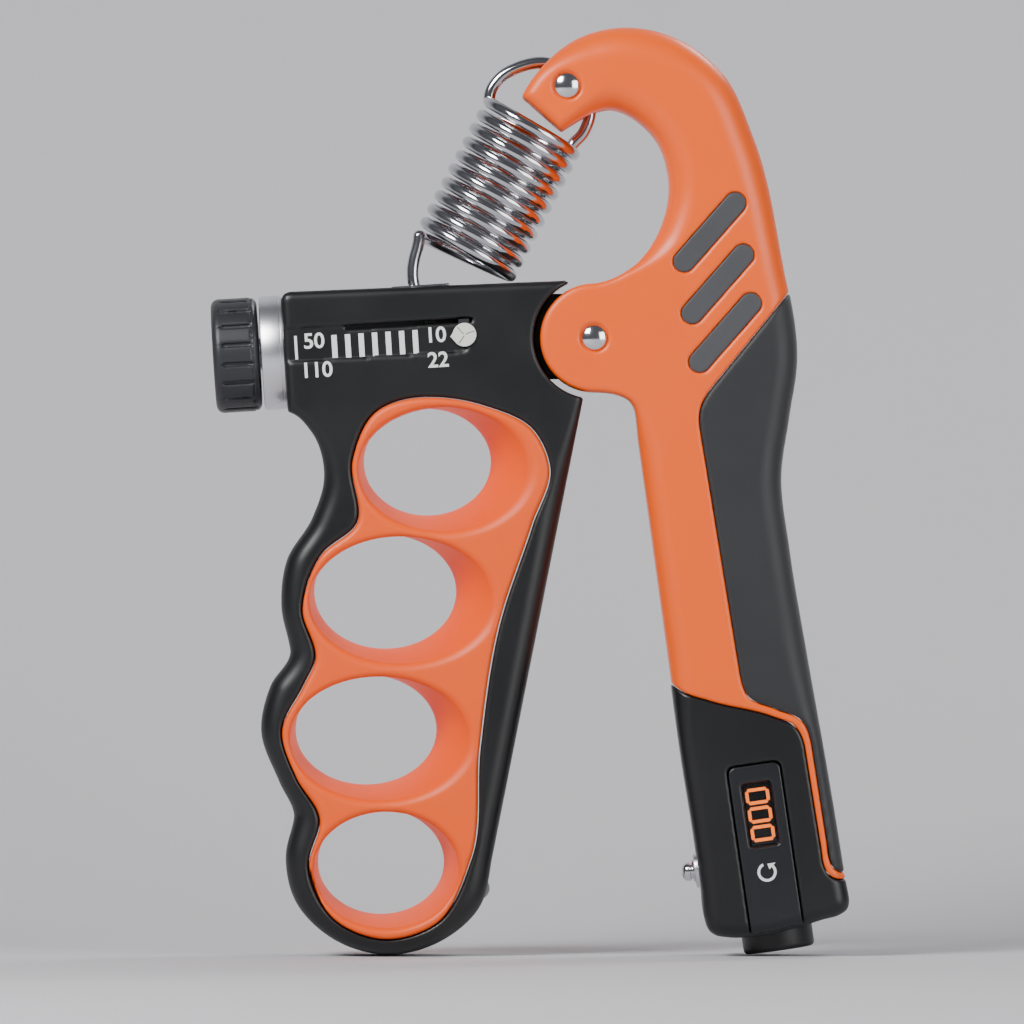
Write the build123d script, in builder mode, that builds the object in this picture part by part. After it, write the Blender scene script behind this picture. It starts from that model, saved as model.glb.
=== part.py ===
"""Adjustable hand grip strengthener with a repetition counter.

Frame: X to the right across the two handles, Y from front to back, Z up.
The origin is at the bottom centre of the whole object. Millimetres throughout.
"""
import os
from math import cos, hypot, radians, sin

from build123d import *

os.makedirs("parts", exist_ok=True)

# ---- thicknesses, measured from the mid plane to one side ----
FINGER_HALF = 12.0  # finger handle
FRAME_HALF = 11.2  # orange palm frame: hook, hinge cheeks and stem
GRIP_HALF = 12.0  # soft palm grip and counter housing
GRIP_SKIN = 2.6  # soft layer over the hard core, at the front and the rear

# ---- hinge between the handles ----
PIVOT = (12.2, 115.9)  # X, Z
CHEEK_R = 10.3
CHEEK_GAP = 0.4  # between tongue and cheek, on each side
TONGUE_HALF = 4.0
TONGUE_R = 9.4
HANDLE_GAP = 1.1  # between cheek rim and finger handle
RIVET_R = 2.0
BUSH_WALL = 1.2
RUNNING_FIT = 0.05  # radial, shaft to bore
HEAD_R = 2.45
HEAD_RISE = 0.7
HEAD_RECESS_R = 3.1
HEAD_RECESS_DEPTH = 0.6
HEAD_CLEARANCE = 0.2  # radial, round a sunk screw head
SCREW_BLIND = 6.0  # depth of a screw's hole in the front half
WASHER_T = 0.3

# ---- hook and spring ----
HOOK_PIN = (7.1, 163.1)  # X, Z
HOOK_PIN_R = 1.3
SPRING_BUSH_R = 1.8
HOOK_SLIT_HALF = 1.7
WIRE_R = 1.08
COIL_R = 9.35  # to the middle of the wire
COIL_TOP = (0.8, 156.0)
COIL_END = (-11.9, 131.6)
COIL_PIECES = 6
TOP_EYE = (2.3, 158.8)
LOWER_EYE = (-14.0, 128.2)
LOWER_EYE_R = 8.6

# ---- load adjustment ----
FACE_AT = 29.2  # left face of the finger handle, measured along the screw from the nut
SCREW_TILT = 3.5  # degrees, rising to the right
SLIDER_AT = (-16.7, 115.03)  # X, Z of the nut at rest
SCREW_R = 2.5
JOURNAL_R = 3.0
PIN_R = 1.25
PIN_RISE = 7.85  # slider pin above the screw axis
NUT_HALF_W = 5.5
EAR_T = 1.0
EAR_GAP_HALF = 1.4  # half the gap that the spring wire passes through
CHAMBER_HALF = 6.2
CHAMBER_LOW = 5.0
CHAMBER_HIGH = 8.3
CHAMBER_LEFT = 25.6
CHAMBER_RIGHT = 13.4
KNOB_R = 10.7
KNOB_LENGTH = 8.6
KNOB_GAP = 0.5
COLLAR_LENGTH = 4.3
SPIGOT_R = 8.2
GROOVES = 18
GROOVE_DEPTH = 0.5
GROOVE_WIDTH = 0.8

# ---- scale on the finger handle ----
SCALE_DEPTH = 0.5
SCALE_HALF_H = 3.1
TICKS = 7
TICK_PITCH = 2.53
TICK_SIZE = (1.0, 4.4)
INDICATOR_R = 2.25

# ---- repetition counter in the lower end of the palm handle ----
COUNTER_TILT = 8.3  # degrees, lower end to the right
COUNTER_AT = (44.2, 20.5)  # X, Z, middle of the panel
PANEL = (10.0, 31.4)
PANEL_T = 1.5
PANEL_GAP = 0.2
PANEL_TAIL = 6.0  # square end of the panel seat, which runs out at the bottom
WINDOW = (4.9, 11.3)
WINDOW_RISE = 6.25
BUTTON_R = 6.7
BUTTON_FOOT = 19.7  # from the middle of the panel down to the button's face
BUTTON_LENGTH = 7.6
BUTTON_TRAVEL = 0.8
CELL_R = 5.8
CELL_T = 5.4
PLUNGER_R = 2.15
PLUNGER_DROP = 2.7  # below the middle of the panel
PLUNGER_WALL = 13.2  # from the panel's axis to the housing wall
PLUNGER_OUT = 2.9


def side(y=0.0):
    """Upright plane that looks to the front; its own x is X and its own y is Z."""
    return Plane(origin=(0, y, 0), x_dir=(1, 0, 0), z_dir=(0, -1, 0))


def tilted(at, degrees_up, y=0.0):
    """Upright plane at a point of the side view, turned so that its x axis rises to the right."""
    turn = radians(degrees_up)
    return Plane(origin=(at[0], y, at[1]), x_dir=(cos(turn), 0, sin(turn)), z_dir=(0, -1, 0))


def screw_plane(y=0.0):
    """Plane along the lead screw: x runs along the screw, y upwards."""
    return tilted(SLIDER_AT, SCREW_TILT, y)


def counter_plane(y=0.0):
    """Plane along the counter: x across the handle, y up the handle."""
    return tilted(COUNTER_AT, COUNTER_TILT, y)


def across_screw(u):
    """Plane square to the screw at the distance u from the nut's rest place."""
    turn = radians(SCREW_TILT)
    origin = (SLIDER_AT[0] + u * cos(turn), 0, SLIDER_AT[1] + u * sin(turn))
    return Plane(origin=origin, x_dir=(0, 1, 0), z_dir=(cos(turn), 0, sin(turn)))


def across_counter(x, y):
    """Plane square to the counter's x axis at a place of the counter plane."""
    turn = radians(COUNTER_TILT)
    origin = (COUNTER_AT[0] + x * cos(turn) - y * sin(turn), 0, COUNTER_AT[1] + x * sin(turn) + y * cos(turn))
    return Plane(origin=origin, x_dir=(0, 1, 0), z_dir=(cos(turn), 0, sin(turn)))


def below_counter(drop):
    """Plane square to the counter's long axis, facing down, at a distance below the panel's middle."""
    turn = radians(COUNTER_TILT)
    origin = (COUNTER_AT[0] + drop * sin(turn), 0, COUNTER_AT[1] - drop * cos(turn))
    return Plane(origin=origin, x_dir=(0, 1, 0), z_dir=(sin(turn), 0, -cos(turn)))


def keep(piece, name):
    """Label a finished piece and write it."""
    piece.part.label = name
    export_step(piece.part, f"parts/{name}.step")


# ======================= palm handle outlines =======================
FRAME_CORNER = (26.6, 51.4)
STRIP_END = (57.5, 15.9)

with BuildSketch(side()) as frame_outline:
    with BuildLine():
        Spline(
            (-1.5, 161.1), (2.4, 166.8), (8.8, 172.0), (17.6, 174.2), (27.6, 172.2), (36.6, 165.3),
            (42.2, 153.5), (48.8, 124.5), tangents=[(0.45, 1), (0.23, -1)],
        )
        Line((48.8, 124.5), (34.4, 106.7))
        Spline((34.4, 106.7), (32.1, 102.6), (32.1, 98.4), tangents=[(-0.63, -0.78), (0.17, -1)])
        Line((32.1, 98.4), (39.4, 53.6))
        Spline(
            (39.4, 53.6), (41.2, 48.5), (46.0, 46.4), (51.2, 44.0), (53.0, 39.0),
            tangents=[(0.16, -1), (0.17, -1)],
        )
        Polyline(
            (53.0, 39.0), (55.9, 20.3), (56.3, 17.6), STRIP_END, (59.4, 16.4), (59.4, 15.0), (57.3, 14.7),
            (55.4, 16.4), (54.8, 19.6), (51.7, 39.2),
        )
        Spline(
            (51.7, 39.2), (50.0, 43.0), (45.5, 45.0), (34.0, 47.8), (28.4, 49.8), FRAME_CORNER,
            tangents=[(-0.17, 1), (-0.6, 0.8)],
        )
        Line(FRAME_CORNER, (20.3, 97.0))
        Spline(
            (20.3, 97.0), (18.9, 103.8), (PIVOT[0], PIVOT[1] - CHEEK_R), tangents=[(-0.14, 1), (-1, 0)]
        )
        ThreePointArc(
            (PIVOT[0], PIVOT[1] - CHEEK_R), (PIVOT[0] - CHEEK_R, PIVOT[1]), (PIVOT[0], PIVOT[1] + CHEEK_R)
        )
        Spline(
            (PIVOT[0], PIVOT[1] + CHEEK_R), (19.2, 129.2), (24.6, 136.8), (26.1, 144.5), (23.5, 153.2),
            (15.6, 158.6), (6.0, 154.5), tangents=[(1, 0.1), (-0.85, -0.5)],
        )
        Line((6.0, 154.5), (-1.5, 161.1))
    make_face()

# The grip and the housing are drawn past the frame's edge and cut back to it.
with BuildSketch(side()) as grip_blank:
    with BuildLine():
        Spline(
            (48.8, 124.5), (50.3, 112.0), (48.8, 101.0), (47.3, 90.0), (48.8, 76.5), (52.3, 55.5),
            (56.1, 33.9), (59.3, 15.5), tangents=[(0.2, -1), (0.15, -1)],
        )
        Polyline(
            (59.3, 15.5), (56.9, 15.3), (52.4, 39.1), (50.6, 43.5), (45.7, 45.7), (38.0, 48.5),
            (36.0, 53.0), (28.0, 100.0), (31.0, 109.0), (48.8, 124.5),
        )
    make_face()

with BuildSketch(side()) as grip_outline:
    add(grip_blank.sketch)
    add(frame_outline.sketch, mode=Mode.SUBTRACT)

with BuildSketch(side()) as core_outline:
    with BuildLine():
        Spline(
            (46.4, 119.0), (47.7, 112.0), (46.2, 101.0), (44.7, 90.0), (46.1, 76.5), (49.6, 55.5),
            (51.0, 47.5), tangents=[(0.5, -1), (0.15, -1)],
        )
        Polyline(
            (51.0, 47.5), (49.0, 44.6), (45.7, 45.7), (38.0, 48.5), (36.0, 53.0), (28.0, 100.0),
            (31.0, 109.0), (46.4, 123.4), (46.4, 119.0),
        )
    make_face()
    add(frame_outline.sketch, mode=Mode.SUBTRACT)

with BuildSketch(side()) as housing_outline:
    with BuildLine():
        Spline(FRAME_CORNER, (28.3, 38.6), (30.4, 22.8), (32.9, 6.6), tangents=[(0.12, -1), (0.15, -1)])
        Spline((32.9, 6.6), (34.6, 4.5), (43.3, 3.9), tangents=[(0.15, -1), (1, 0.12)])
        Spline((43.3, 3.9), (50.8, 5.6), (58.4, 7.9), (59.8, 10.0), tangents=[(1, 0.12), (0.1, 1)])
        Polyline(
            (59.8, 10.0), (59.6, 14.6), (58.0, 14.9), (56.3, 15.6), (52.4, 39.1), (50.6, 43.5),
            (45.7, 45.7), (36.0, 50.5), FRAME_CORNER,
        )
    make_face()
    add(frame_outline.sketch, mode=Mode.SUBTRACT)

# ======================= finger handle outlines =======================
LIP = (10.1, 104.3)



def face_point(z):
    """Point of the handle's left face, which is square to the lead screw, at the height z."""
    turn = radians(SCREW_TILT)
    return (SLIDER_AT[0] - FACE_AT / cos(turn) - (z - SLIDER_AT[1]) * sin(turn) / cos(turn), z)


with BuildSketch(side()) as finger_outline:
    with BuildLine():
        Polyline(face_point(102.0), face_point(123.0), (-45.7, 124.5), (7.7, 126.6), PIVOT, LIP)
        Line(LIP, (-6.8, 18.9))
        Spline(
            (-6.8, 18.9), (-9.4, 9.0), (-16.6, 2.8), (-26.1, 0.3), (-36.6, 3.2), (-43.9, 10.6),
            (-45.6, 18.8), (-44.0, 26.4), tangents=[(-0.2, -1), (0.1, 1)],
        )
        Spline(
            (-44.0, 26.4), (-46.8, 32.7), (-50.2, 42.5), (-48.4, 50.8), (-44.7, 57.0),
            tangents=[(-0.1, 1), (0.1, 1)],
        )
        Spline(
            (-44.7, 57.0), (-46.4, 65.5), (-45.4, 74.2), (-40.6, 82.2), (-38.4, 90.0), (-40.6, 98.0),
            face_point(102.0), tangents=[(-0.1, 1), (-1, 0.2)],
        )
    make_face()
    with Locations(PIVOT):
        Circle(CHEEK_R + HANDLE_GAP, mode=Mode.SUBTRACT)

with BuildSketch(side()) as insert_outline:
    with BuildLine():
        Spline(
            (-19.5, 104.8), (-8.2, 103.1), (0.8, 98.6), (3.9, 91.6), (0.6, 80.8), (-5.6, 62.0),
            (-9.2, 39.0), (-10.9, 18.0), (-17.4, 6.1), (-27.0, 3.2), (-36.6, 7.0), (-41.3, 16.6),
            (-39.3, 26.0), (-43.6, 33.4), (-46.3, 42.4), (-42.4, 50.5), (-40.1, 55.6), (-42.5, 65.0),
            (-39.0, 75.2), (-32.4, 81.0), (-33.1, 93.0), (-29.0, 101.8), periodic=True,
        )
    make_face()

# Four finger holes: middle of the narrow ring, its half axes, then the same for the mouth.
FINGER_HOLES = [
    ((-19.1, 92.6), (11.9, 10.0), (-15.8, 91.1), (16.2, 11.8)),
    ((-27.0, 68.3), (13.3, 10.7), (-23.8, 66.6), (17.4, 12.0)),
    ((-30.6, 42.4), (13.2, 10.3), (-27.8, 40.7), (17.0, 11.7)),
    ((-27.8, 17.6), (11.8, 9.8), (-26.6, 16.1), (13.8, 11.0)),
]

# ======================= palm frame halves =======================
SLIT_EYE_R = COIL_R + WIRE_R + 2.2
STEM_SCREWS = [(31.5, 60.0), (26.5, 112.5), (24.5, 165.5)]
SCREW_HEAD_R = 2.2
SCREW_SHANK_R = 1.1
SCREW_HEAD_T = 1.6
SCREW_SINK = 0.8
INLAY_LENGTH = 18.8
INLAY_R = 2.15
INLAY_SINK = 0.7
INLAY_LIP = 0.2
INLAYS = [(33.8, 135.6), (35.3, 125.9), (36.7, 116.8)]
INLAY_ANGLE = 48.8


def palm_half(front):
    """One moulded half of the palm handle: hook, hinge cheek, stem and the strip beside the counter."""
    way = 1 if front else -1
    with BuildPart() as half:
        with BuildSketch(side()):
            add(frame_outline.sketch)
        extrude(amount=way * FRAME_HALF)
        with BuildSketch(side()):
            with Locations(PIVOT):
                Circle(CHEEK_R + RUNNING_FIT)
        extrude(amount=way * (TONGUE_HALF + CHEEK_GAP), mode=Mode.SUBTRACT)
        with BuildSketch(side()):
            with Locations(TOP_EYE):
                Circle(SLIT_EYE_R)
        extrude(amount=way * HOOK_SLIT_HALF, mode=Mode.SUBTRACT)
        with BuildSketch(side()):
            with Locations(PIVOT):
                Circle(RIVET_R)
            with Locations(HOOK_PIN):
                Circle(HOOK_PIN_R)
        extrude(amount=way * FRAME_HALF, mode=Mode.SUBTRACT)
        with BuildSketch(side(-way * FRAME_HALF)):
            with Locations(PIVOT, HOOK_PIN):
                Circle(HEAD_RECESS_R)
        extrude(amount=-way * HEAD_RECESS_DEPTH, mode=Mode.SUBTRACT)
        with BuildSketch(side(-way * FRAME_HALF)):
            with Locations(*INLAYS):
                SlotCenterToCenter(INLAY_LENGTH - 2 * INLAY_R, 2 * INLAY_R, rotation=INLAY_ANGLE)
        extrude(amount=-way * INLAY_SINK, mode=Mode.SUBTRACT)
        with BuildSketch(side()):
            with Locations(*STEM_SCREWS):
                Circle(SCREW_SHANK_R)
        extrude(amount=way * (SCREW_BLIND if front else FRAME_HALF), mode=Mode.SUBTRACT)
        if not front:
            with BuildSketch(side(FRAME_HALF)):
                with Locations(*STEM_SCREWS):
                    Circle(SCREW_HEAD_R + HEAD_CLEARANCE)
            extrude(amount=SCREW_HEAD_T + SCREW_SINK, mode=Mode.SUBTRACT)
    return half


palm_shell_front = palm_half(True)
keep(palm_shell_front, "palm_shell_front")
palm_shell_rear = palm_half(False)
keep(palm_shell_rear, "palm_shell_rear")

# ======================= soft grip and its inlays =======================
with BuildPart() as palm_grip_pad:
    with BuildSketch(side()):
        add(grip_outline.sketch)
    extrude(amount=GRIP_HALF, both=True)
    with BuildSketch(side()):
        add(core_outline.sketch)
    extrude(amount=GRIP_HALF - GRIP_SKIN, both=True, mode=Mode.SUBTRACT)
keep(palm_grip_pad, "palm_grip_pad")

with BuildPart() as grip_core:
    with BuildSketch(side()):
        add(core_outline.sketch)
    extrude(amount=GRIP_HALF - GRIP_SKIN, both=True)
keep(grip_core, "grip_core")

with BuildPart() as slot_inlays:
    for way in (1, -1):
        with BuildSketch(side(-way * (FRAME_HALF - INLAY_SINK))):
            with Locations(*INLAYS):
                SlotCenterToCenter(INLAY_LENGTH - 2 * INLAY_R, 2 * (INLAY_R - 0.05), rotation=INLAY_ANGLE)
        extrude(amount=way * (INLAY_SINK - INLAY_LIP))
keep(slot_inlays, "slot_inlays")

# ======================= hinge and hook hardware =======================
def rivet(at, shaft_r):
    """Rivet along Y with a domed head in each recess of the palm frame."""
    seat = FRAME_HALF - HEAD_RECESS_DEPTH
    with BuildPart() as pin:
        with BuildSketch(side()):
            with Locations(at):
                Circle(shaft_r)
        extrude(amount=seat, both=True)
        for way in (1, -1):
            with BuildSketch(side(-way * seat)):
                with Locations(at):
                    Circle(HEAD_R)
            extrude(amount=way * (HEAD_RECESS_DEPTH + HEAD_RISE))
        rims = pin.edges().filter_by(GeomType.CIRCLE).group_by(Axis.Y)
        fillet(rims[0] + rims[-1], HEAD_RISE)
    return pin


pivot_rivet = rivet(PIVOT, RIVET_R)
keep(pivot_rivet, "pivot_rivet")
hook_rivet = rivet(HOOK_PIN, HOOK_PIN_R)
keep(hook_rivet, "hook_rivet")

with BuildPart() as hinge_washers:
    for way in (1, -1):
        with BuildSketch(side(-way * (TONGUE_HALF + CHEEK_GAP - WASHER_T))):
            with Locations(PIVOT):
                Circle(RIVET_R + BUSH_WALL + 1.4)
                Circle(RIVET_R + RUNNING_FIT, mode=Mode.SUBTRACT)
        extrude(amount=way * WASHER_T)
keep(hinge_washers, "hinge_washers")

with BuildPart() as pivot_bush:
    with BuildSketch(side()):
        with Locations(PIVOT):
            Circle(RIVET_R + BUSH_WALL)
            Circle(RIVET_R + RUNNING_FIT, mode=Mode.SUBTRACT)
    extrude(amount=TONGUE_HALF, both=True)
keep(pivot_bush, "pivot_bush")

with BuildPart() as spring_hook_bush:
    with BuildSketch(side()):
        with Locations(HOOK_PIN):
            Circle(SPRING_BUSH_R)
            Circle(HOOK_PIN_R + RUNNING_FIT, mode=Mode.SUBTRACT)
    extrude(amount=HOOK_SLIT_HALF - 0.1, both=True)
keep(spring_hook_bush, "spring_hook_bush")


def countersunk_screws(places, face_y, length, part_name):
    """Pan head screws driven from the rear face towards the front."""
    with BuildPart() as screws:
        with BuildSketch(side(face_y - SCREW_SINK)):
            with Locations(*places):
                Circle(SCREW_HEAD_R)
        extrude(amount=SCREW_HEAD_T)
        with BuildSketch(side(face_y - SCREW_SINK - SCREW_HEAD_T)):
            with Locations(*places):
                Circle(SCREW_SHANK_R)
        extrude(amount=length)
        with BuildSketch(side(face_y - SCREW_SINK)):
            with Locations(*places):
                Rectangle(2.6, 0.6)
                Rectangle(0.6, 2.6)
        extrude(amount=0.9, mode=Mode.SUBTRACT)
    keep(screws, part_name)


SCREW_REACH = 13.0
countersunk_screws(STEM_SCREWS, FRAME_HALF, SCREW_REACH, "palm_screws")

# ======================= finger handle shells =======================
FINGER_SCREWS = [(-40.6, 106.5), (-3.4, 107.6), (-1.8, 66.0), (-9.6, 12.4)]
ABOVE_TOP = 6.0  # how far the top cuts run on, past the shell's top edge
SLOT_HALF = 2.6
SLOT_LEFT = 26.6
SLOT_RIGHT = 2.6
TRACK_HALF = 4.3
TRACK_RISE = 10.15
TRACK_LEFT = 28.9
TRACK_RIGHT = 3.2
SLIT_RISE = 3.65
SLIT_HALF_H = 0.6
SLIT_LEFT = 17.6
SLIT_RIGHT = 6.3
SCALE_LEFT = 28.2
SCALE_RIGHT = 7.2
SCALE_RISE = 1.1
SPIGOT_LENGTH = 3.2
BEARING_R = 5.0
BEARING_LENGTH = FACE_AT - CHAMBER_LEFT
END_BEARING_R = 4.0
END_BEARING_LENGTH = 2.6


def span(left, right, low, high):
    """Rectangle given by its four sides."""
    with Locations(((left + right) / 2, (low + high) / 2)):
        Rectangle(right - left, high - low)


def finger_half(front):
    """One moulded half of the finger handle with its share of the hinge tongue."""
    way = 1 if front else -1
    with BuildPart() as half:
        with BuildSketch(side()):
            add(finger_outline.sketch)
        extrude(amount=way * FINGER_HALF)
        with BuildSketch(side()):
            with Locations(PIVOT):
                Circle(TONGUE_R)
            with BuildLine():
                Polyline((-2.0, 108.0), (9.5, 106.9), (PIVOT[0], PIVOT[1]), (8.4, 124.5), (-2.0, 124.5), close=True)
            make_face()
        extrude(amount=way * TONGUE_HALF)
        with BuildSketch(across_screw(-FACE_AT)):
            Circle(SPIGOT_R)
            Rectangle(FINGER_HALF * 2, SPIGOT_R * 3, align=(Align.MAX if front else Align.MIN, Align.CENTER),
                      mode=Mode.INTERSECT)
        extrude(amount=-SPIGOT_LENGTH)
        with BuildSketch(side()):
            with Locations(PIVOT):
                Circle(RIVET_R + BUSH_WALL)
            add(insert_outline.sketch)
        extrude(amount=way * FINGER_HALF, mode=Mode.SUBTRACT)
        with BuildSketch(screw_plane()):
            span(-CHAMBER_LEFT, CHAMBER_RIGHT, -CHAMBER_LOW, CHAMBER_HIGH)
        extrude(amount=way * CHAMBER_HALF, mode=Mode.SUBTRACT)
        with BuildSketch(screw_plane()):
            span(-SLOT_LEFT, SLOT_RIGHT, CHAMBER_HIGH - 1, CHAMBER_HIGH + ABOVE_TOP)
        extrude(amount=way * SLOT_HALF, mode=Mode.SUBTRACT)
        with BuildSketch(screw_plane()):
            span(-TRACK_LEFT, TRACK_RIGHT, TRACK_RISE, TRACK_RISE + ABOVE_TOP)
        extrude(amount=way * TRACK_HALF, mode=Mode.SUBTRACT)
        with BuildSketch(across_screw(-FACE_AT - SPIGOT_LENGTH)):
            Circle(BEARING_R)
        extrude(amount=BEARING_LENGTH + SPIGOT_LENGTH, mode=Mode.SUBTRACT)
        with BuildSketch(across_screw(CHAMBER_RIGHT)):
            Circle(END_BEARING_R)
        extrude(amount=END_BEARING_LENGTH, mode=Mode.SUBTRACT)
        if front:
            with BuildSketch(screw_plane(-FINGER_HALF)):
                span(-SCALE_LEFT, SCALE_RIGHT - SCALE_HALF_H, SCALE_RISE - SCALE_HALF_H, SCALE_RISE + SCALE_HALF_H)
                with Locations((SCALE_RIGHT - SCALE_HALF_H, SCALE_RISE)):
                    Circle(SCALE_HALF_H)
            extrude(amount=-SCALE_DEPTH, mode=Mode.SUBTRACT)
            with BuildSketch(screw_plane()):
                span(-SLIT_LEFT, SLIT_RIGHT, SLIT_RISE - SLIT_HALF_H, SLIT_RISE + SLIT_HALF_H)
            extrude(amount=FINGER_HALF, mode=Mode.SUBTRACT)
        with BuildSketch(side()):
            with Locations(*FINGER_SCREWS):
                Circle(SCREW_SHANK_R)
        extrude(amount=way * (SCREW_BLIND if front else FINGER_HALF), mode=Mode.SUBTRACT)
        if not front:
            with BuildSketch(side(FINGER_HALF)):
                with Locations(*FINGER_SCREWS):
                    Circle(SCREW_HEAD_R + HEAD_CLEARANCE)
            extrude(amount=SCREW_HEAD_T + SCREW_SINK, mode=Mode.SUBTRACT)
    return half


finger_shell_front = finger_half(True)
keep(finger_shell_front, "finger_shell_front")
finger_shell_rear = finger_half(False)
keep(finger_shell_rear, "finger_shell_rear")
countersunk_screws(FINGER_SCREWS, FINGER_HALF, SCREW_REACH, "finger_screws")

with BuildPart() as finger_ring_insert:
    with BuildSketch(side()):
        add(insert_outline.sketch)
    extrude(amount=FINGER_HALF, both=True)
    for ring_at, ring_half, mouth_at, mouth_half in FINGER_HOLES:
        for way in (1, -1):
            with BuildSketch(side()):
                with Locations(ring_at):
                    Ellipse(*ring_half)
            with BuildSketch(side(-way * (FINGER_HALF + 0.01))):
                with Locations(mouth_at):
                    Ellipse(*mouth_half)
            loft(mode=Mode.SUBTRACT)
keep(finger_ring_insert, "finger_ring_insert")

# ======================= load adjustment =======================
KNOB_FACE = -FACE_AT - COLLAR_LENGTH - KNOB_GAP
JOURNAL_LEFT = KNOB_FACE - 6.0
SCREW_LEFT = -FACE_AT + BEARING_LENGTH
CLIP_AT = SCREW_LEFT + 0.2
CLIP_T = 0.8

with BuildPart() as collar_ring:
    with BuildSketch(across_screw(-FACE_AT)):
        Circle(KNOB_R)
        Circle(SPIGOT_R, mode=Mode.SUBTRACT)
    extrude(amount=-COLLAR_LENGTH)
    chamfer(collar_ring.edges().filter_by(GeomType.CIRCLE).sort_by(lambda e: e.radius)[-2:], 0.4)
keep(collar_ring, "collar_ring")

with BuildPart() as screw_bearing:
    with BuildSketch(across_screw(-FACE_AT - SPIGOT_LENGTH)):
        Circle(BEARING_R)
        Circle(JOURNAL_R + RUNNING_FIT, mode=Mode.SUBTRACT)
    extrude(amount=SPIGOT_LENGTH + BEARING_LENGTH - 0.1)
keep(screw_bearing, "screw_bearing")

with BuildPart() as end_bearing:
    with BuildSketch(across_screw(CHAMBER_RIGHT)):
        Circle(END_BEARING_R)
        Circle(SCREW_R + RUNNING_FIT, mode=Mode.SUBTRACT)
    extrude(amount=END_BEARING_LENGTH)
keep(end_bearing, "end_bearing")

with BuildPart() as tension_knob:
    with BuildSketch(across_screw(KNOB_FACE)):
        Circle(KNOB_R)
    extrude(amount=-KNOB_LENGTH)
    left_rim = tension_knob.edges().filter_by(GeomType.CIRCLE).sort_by(Axis.X)[0]
    fillet(left_rim, 1.6)
    with BuildSketch(across_screw(KNOB_FACE - 1.2)):
        with PolarLocations(KNOB_R + GROOVE_WIDTH / 2 - GROOVE_DEPTH, GROOVES):
            Rectangle(GROOVE_WIDTH, GROOVE_WIDTH)
    extrude(amount=-(KNOB_LENGTH - 2.6), mode=Mode.SUBTRACT)
    with BuildSketch(across_screw(JOURNAL_LEFT)):
        Circle(JOURNAL_R)
    extrude(amount=6.0, mode=Mode.SUBTRACT)
keep(tension_knob, "tension_knob")

with BuildPart() as lead_screw:
    with BuildSketch(across_screw(JOURNAL_LEFT)):
        Circle(JOURNAL_R)
    extrude(amount=SCREW_LEFT - JOURNAL_LEFT)
    with BuildSketch(across_screw(SCREW_LEFT)):
        Circle(SCREW_R)
    extrude(amount=CHAMBER_RIGHT + END_BEARING_LENGTH - 0.3 - SCREW_LEFT)
keep(lead_screw, "lead_screw")

with BuildPart() as retaining_clip:
    with BuildSketch(across_screw(CLIP_AT)):
        Circle(JOURNAL_R + 1.1)
        Circle(SCREW_R, mode=Mode.SUBTRACT)
    extrude(amount=CLIP_T)
keep(retaining_clip, "retaining_clip")

NUT_LEFT = 4.0
NUT_RIGHT = 6.0
NUT_LOW = 4.2
NUT_HIGH = 2.8
EAR_HALF = 2.5
COVER_T = 0.8
COVER_LENGTH = 10.9
COVER_SHIFT = -3.0
COVER_RISE = TRACK_RISE + 0.1

with BuildPart() as slider_nut:
    with BuildSketch(screw_plane()):
        span(-NUT_LEFT, NUT_RIGHT, -NUT_LOW, NUT_HIGH)
    extrude(amount=NUT_HALF_W, both=True)
    for way in (1, -1):
        with BuildSketch(screw_plane(-way * EAR_GAP_HALF)):
            span(-EAR_HALF, EAR_HALF, NUT_HIGH - 0.5, COVER_RISE)
        extrude(amount=way * EAR_T)
    with BuildSketch(across_screw(-NUT_LEFT)):
        Circle(SCREW_R + RUNNING_FIT)
    extrude(amount=NUT_LEFT + NUT_RIGHT, mode=Mode.SUBTRACT)
    with BuildSketch(screw_plane()):
        with Locations((0, PIN_RISE)):
            Circle(PIN_R)
    extrude(amount=NUT_HALF_W, both=True, mode=Mode.SUBTRACT)
keep(slider_nut, "slider_nut")

with BuildPart() as slider_pin:
    with BuildSketch(screw_plane()):
        with Locations((0, PIN_RISE)):
            Circle(PIN_R)
    extrude(amount=EAR_GAP_HALF + EAR_T, both=True)
keep(slider_pin, "slider_pin")

with BuildPart() as slot_cover:
    with BuildSketch(screw_plane()):
        span(COVER_SHIFT - COVER_LENGTH / 2, COVER_SHIFT + COVER_LENGTH / 2, COVER_RISE, COVER_RISE + COVER_T)
    extrude(amount=TRACK_HALF - 0.3, both=True)
    with BuildSketch(screw_plane()):
        span(COVER_SHIFT - COVER_LENGTH / 2 + 0.8, -EAR_HALF - 0.3, COVER_RISE, COVER_RISE + COVER_T)
    extrude(amount=EAR_GAP_HALF, both=True, mode=Mode.SUBTRACT)
keep(slot_cover, "slot_cover")

ARM_LEFT = 3.7
ARM_RIGHT = 5.7
ARM_HALF_H = 0.4
DISC_U = 4.7
DISC_T = 0.5
DISC_Y = -FINGER_HALF + 0.2

with BuildPart() as load_indicator:
    with BuildSketch(screw_plane(DISC_Y)):
        with Locations((DISC_U, SCALE_RISE)):
            Circle(INDICATOR_R)
        span(ARM_LEFT, ARM_RIGHT, SCALE_RISE, SLIT_RISE + ARM_HALF_H)
    extrude(amount=DISC_T)
    with BuildSketch(screw_plane(-3.0)):
        span(ARM_LEFT, ARM_RIGHT, SLIT_RISE - ARM_HALF_H, SLIT_RISE + ARM_HALF_H)
    extrude(amount=-DISC_Y - 3.0)
    with BuildSketch(screw_plane(-3.0)):
        span(ARM_LEFT, ARM_RIGHT, NUT_HIGH, SLIT_RISE + ARM_HALF_H)
    extrude(amount=NUT_HALF_W - 3.0)
keep(load_indicator, "load_indicator")

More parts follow.
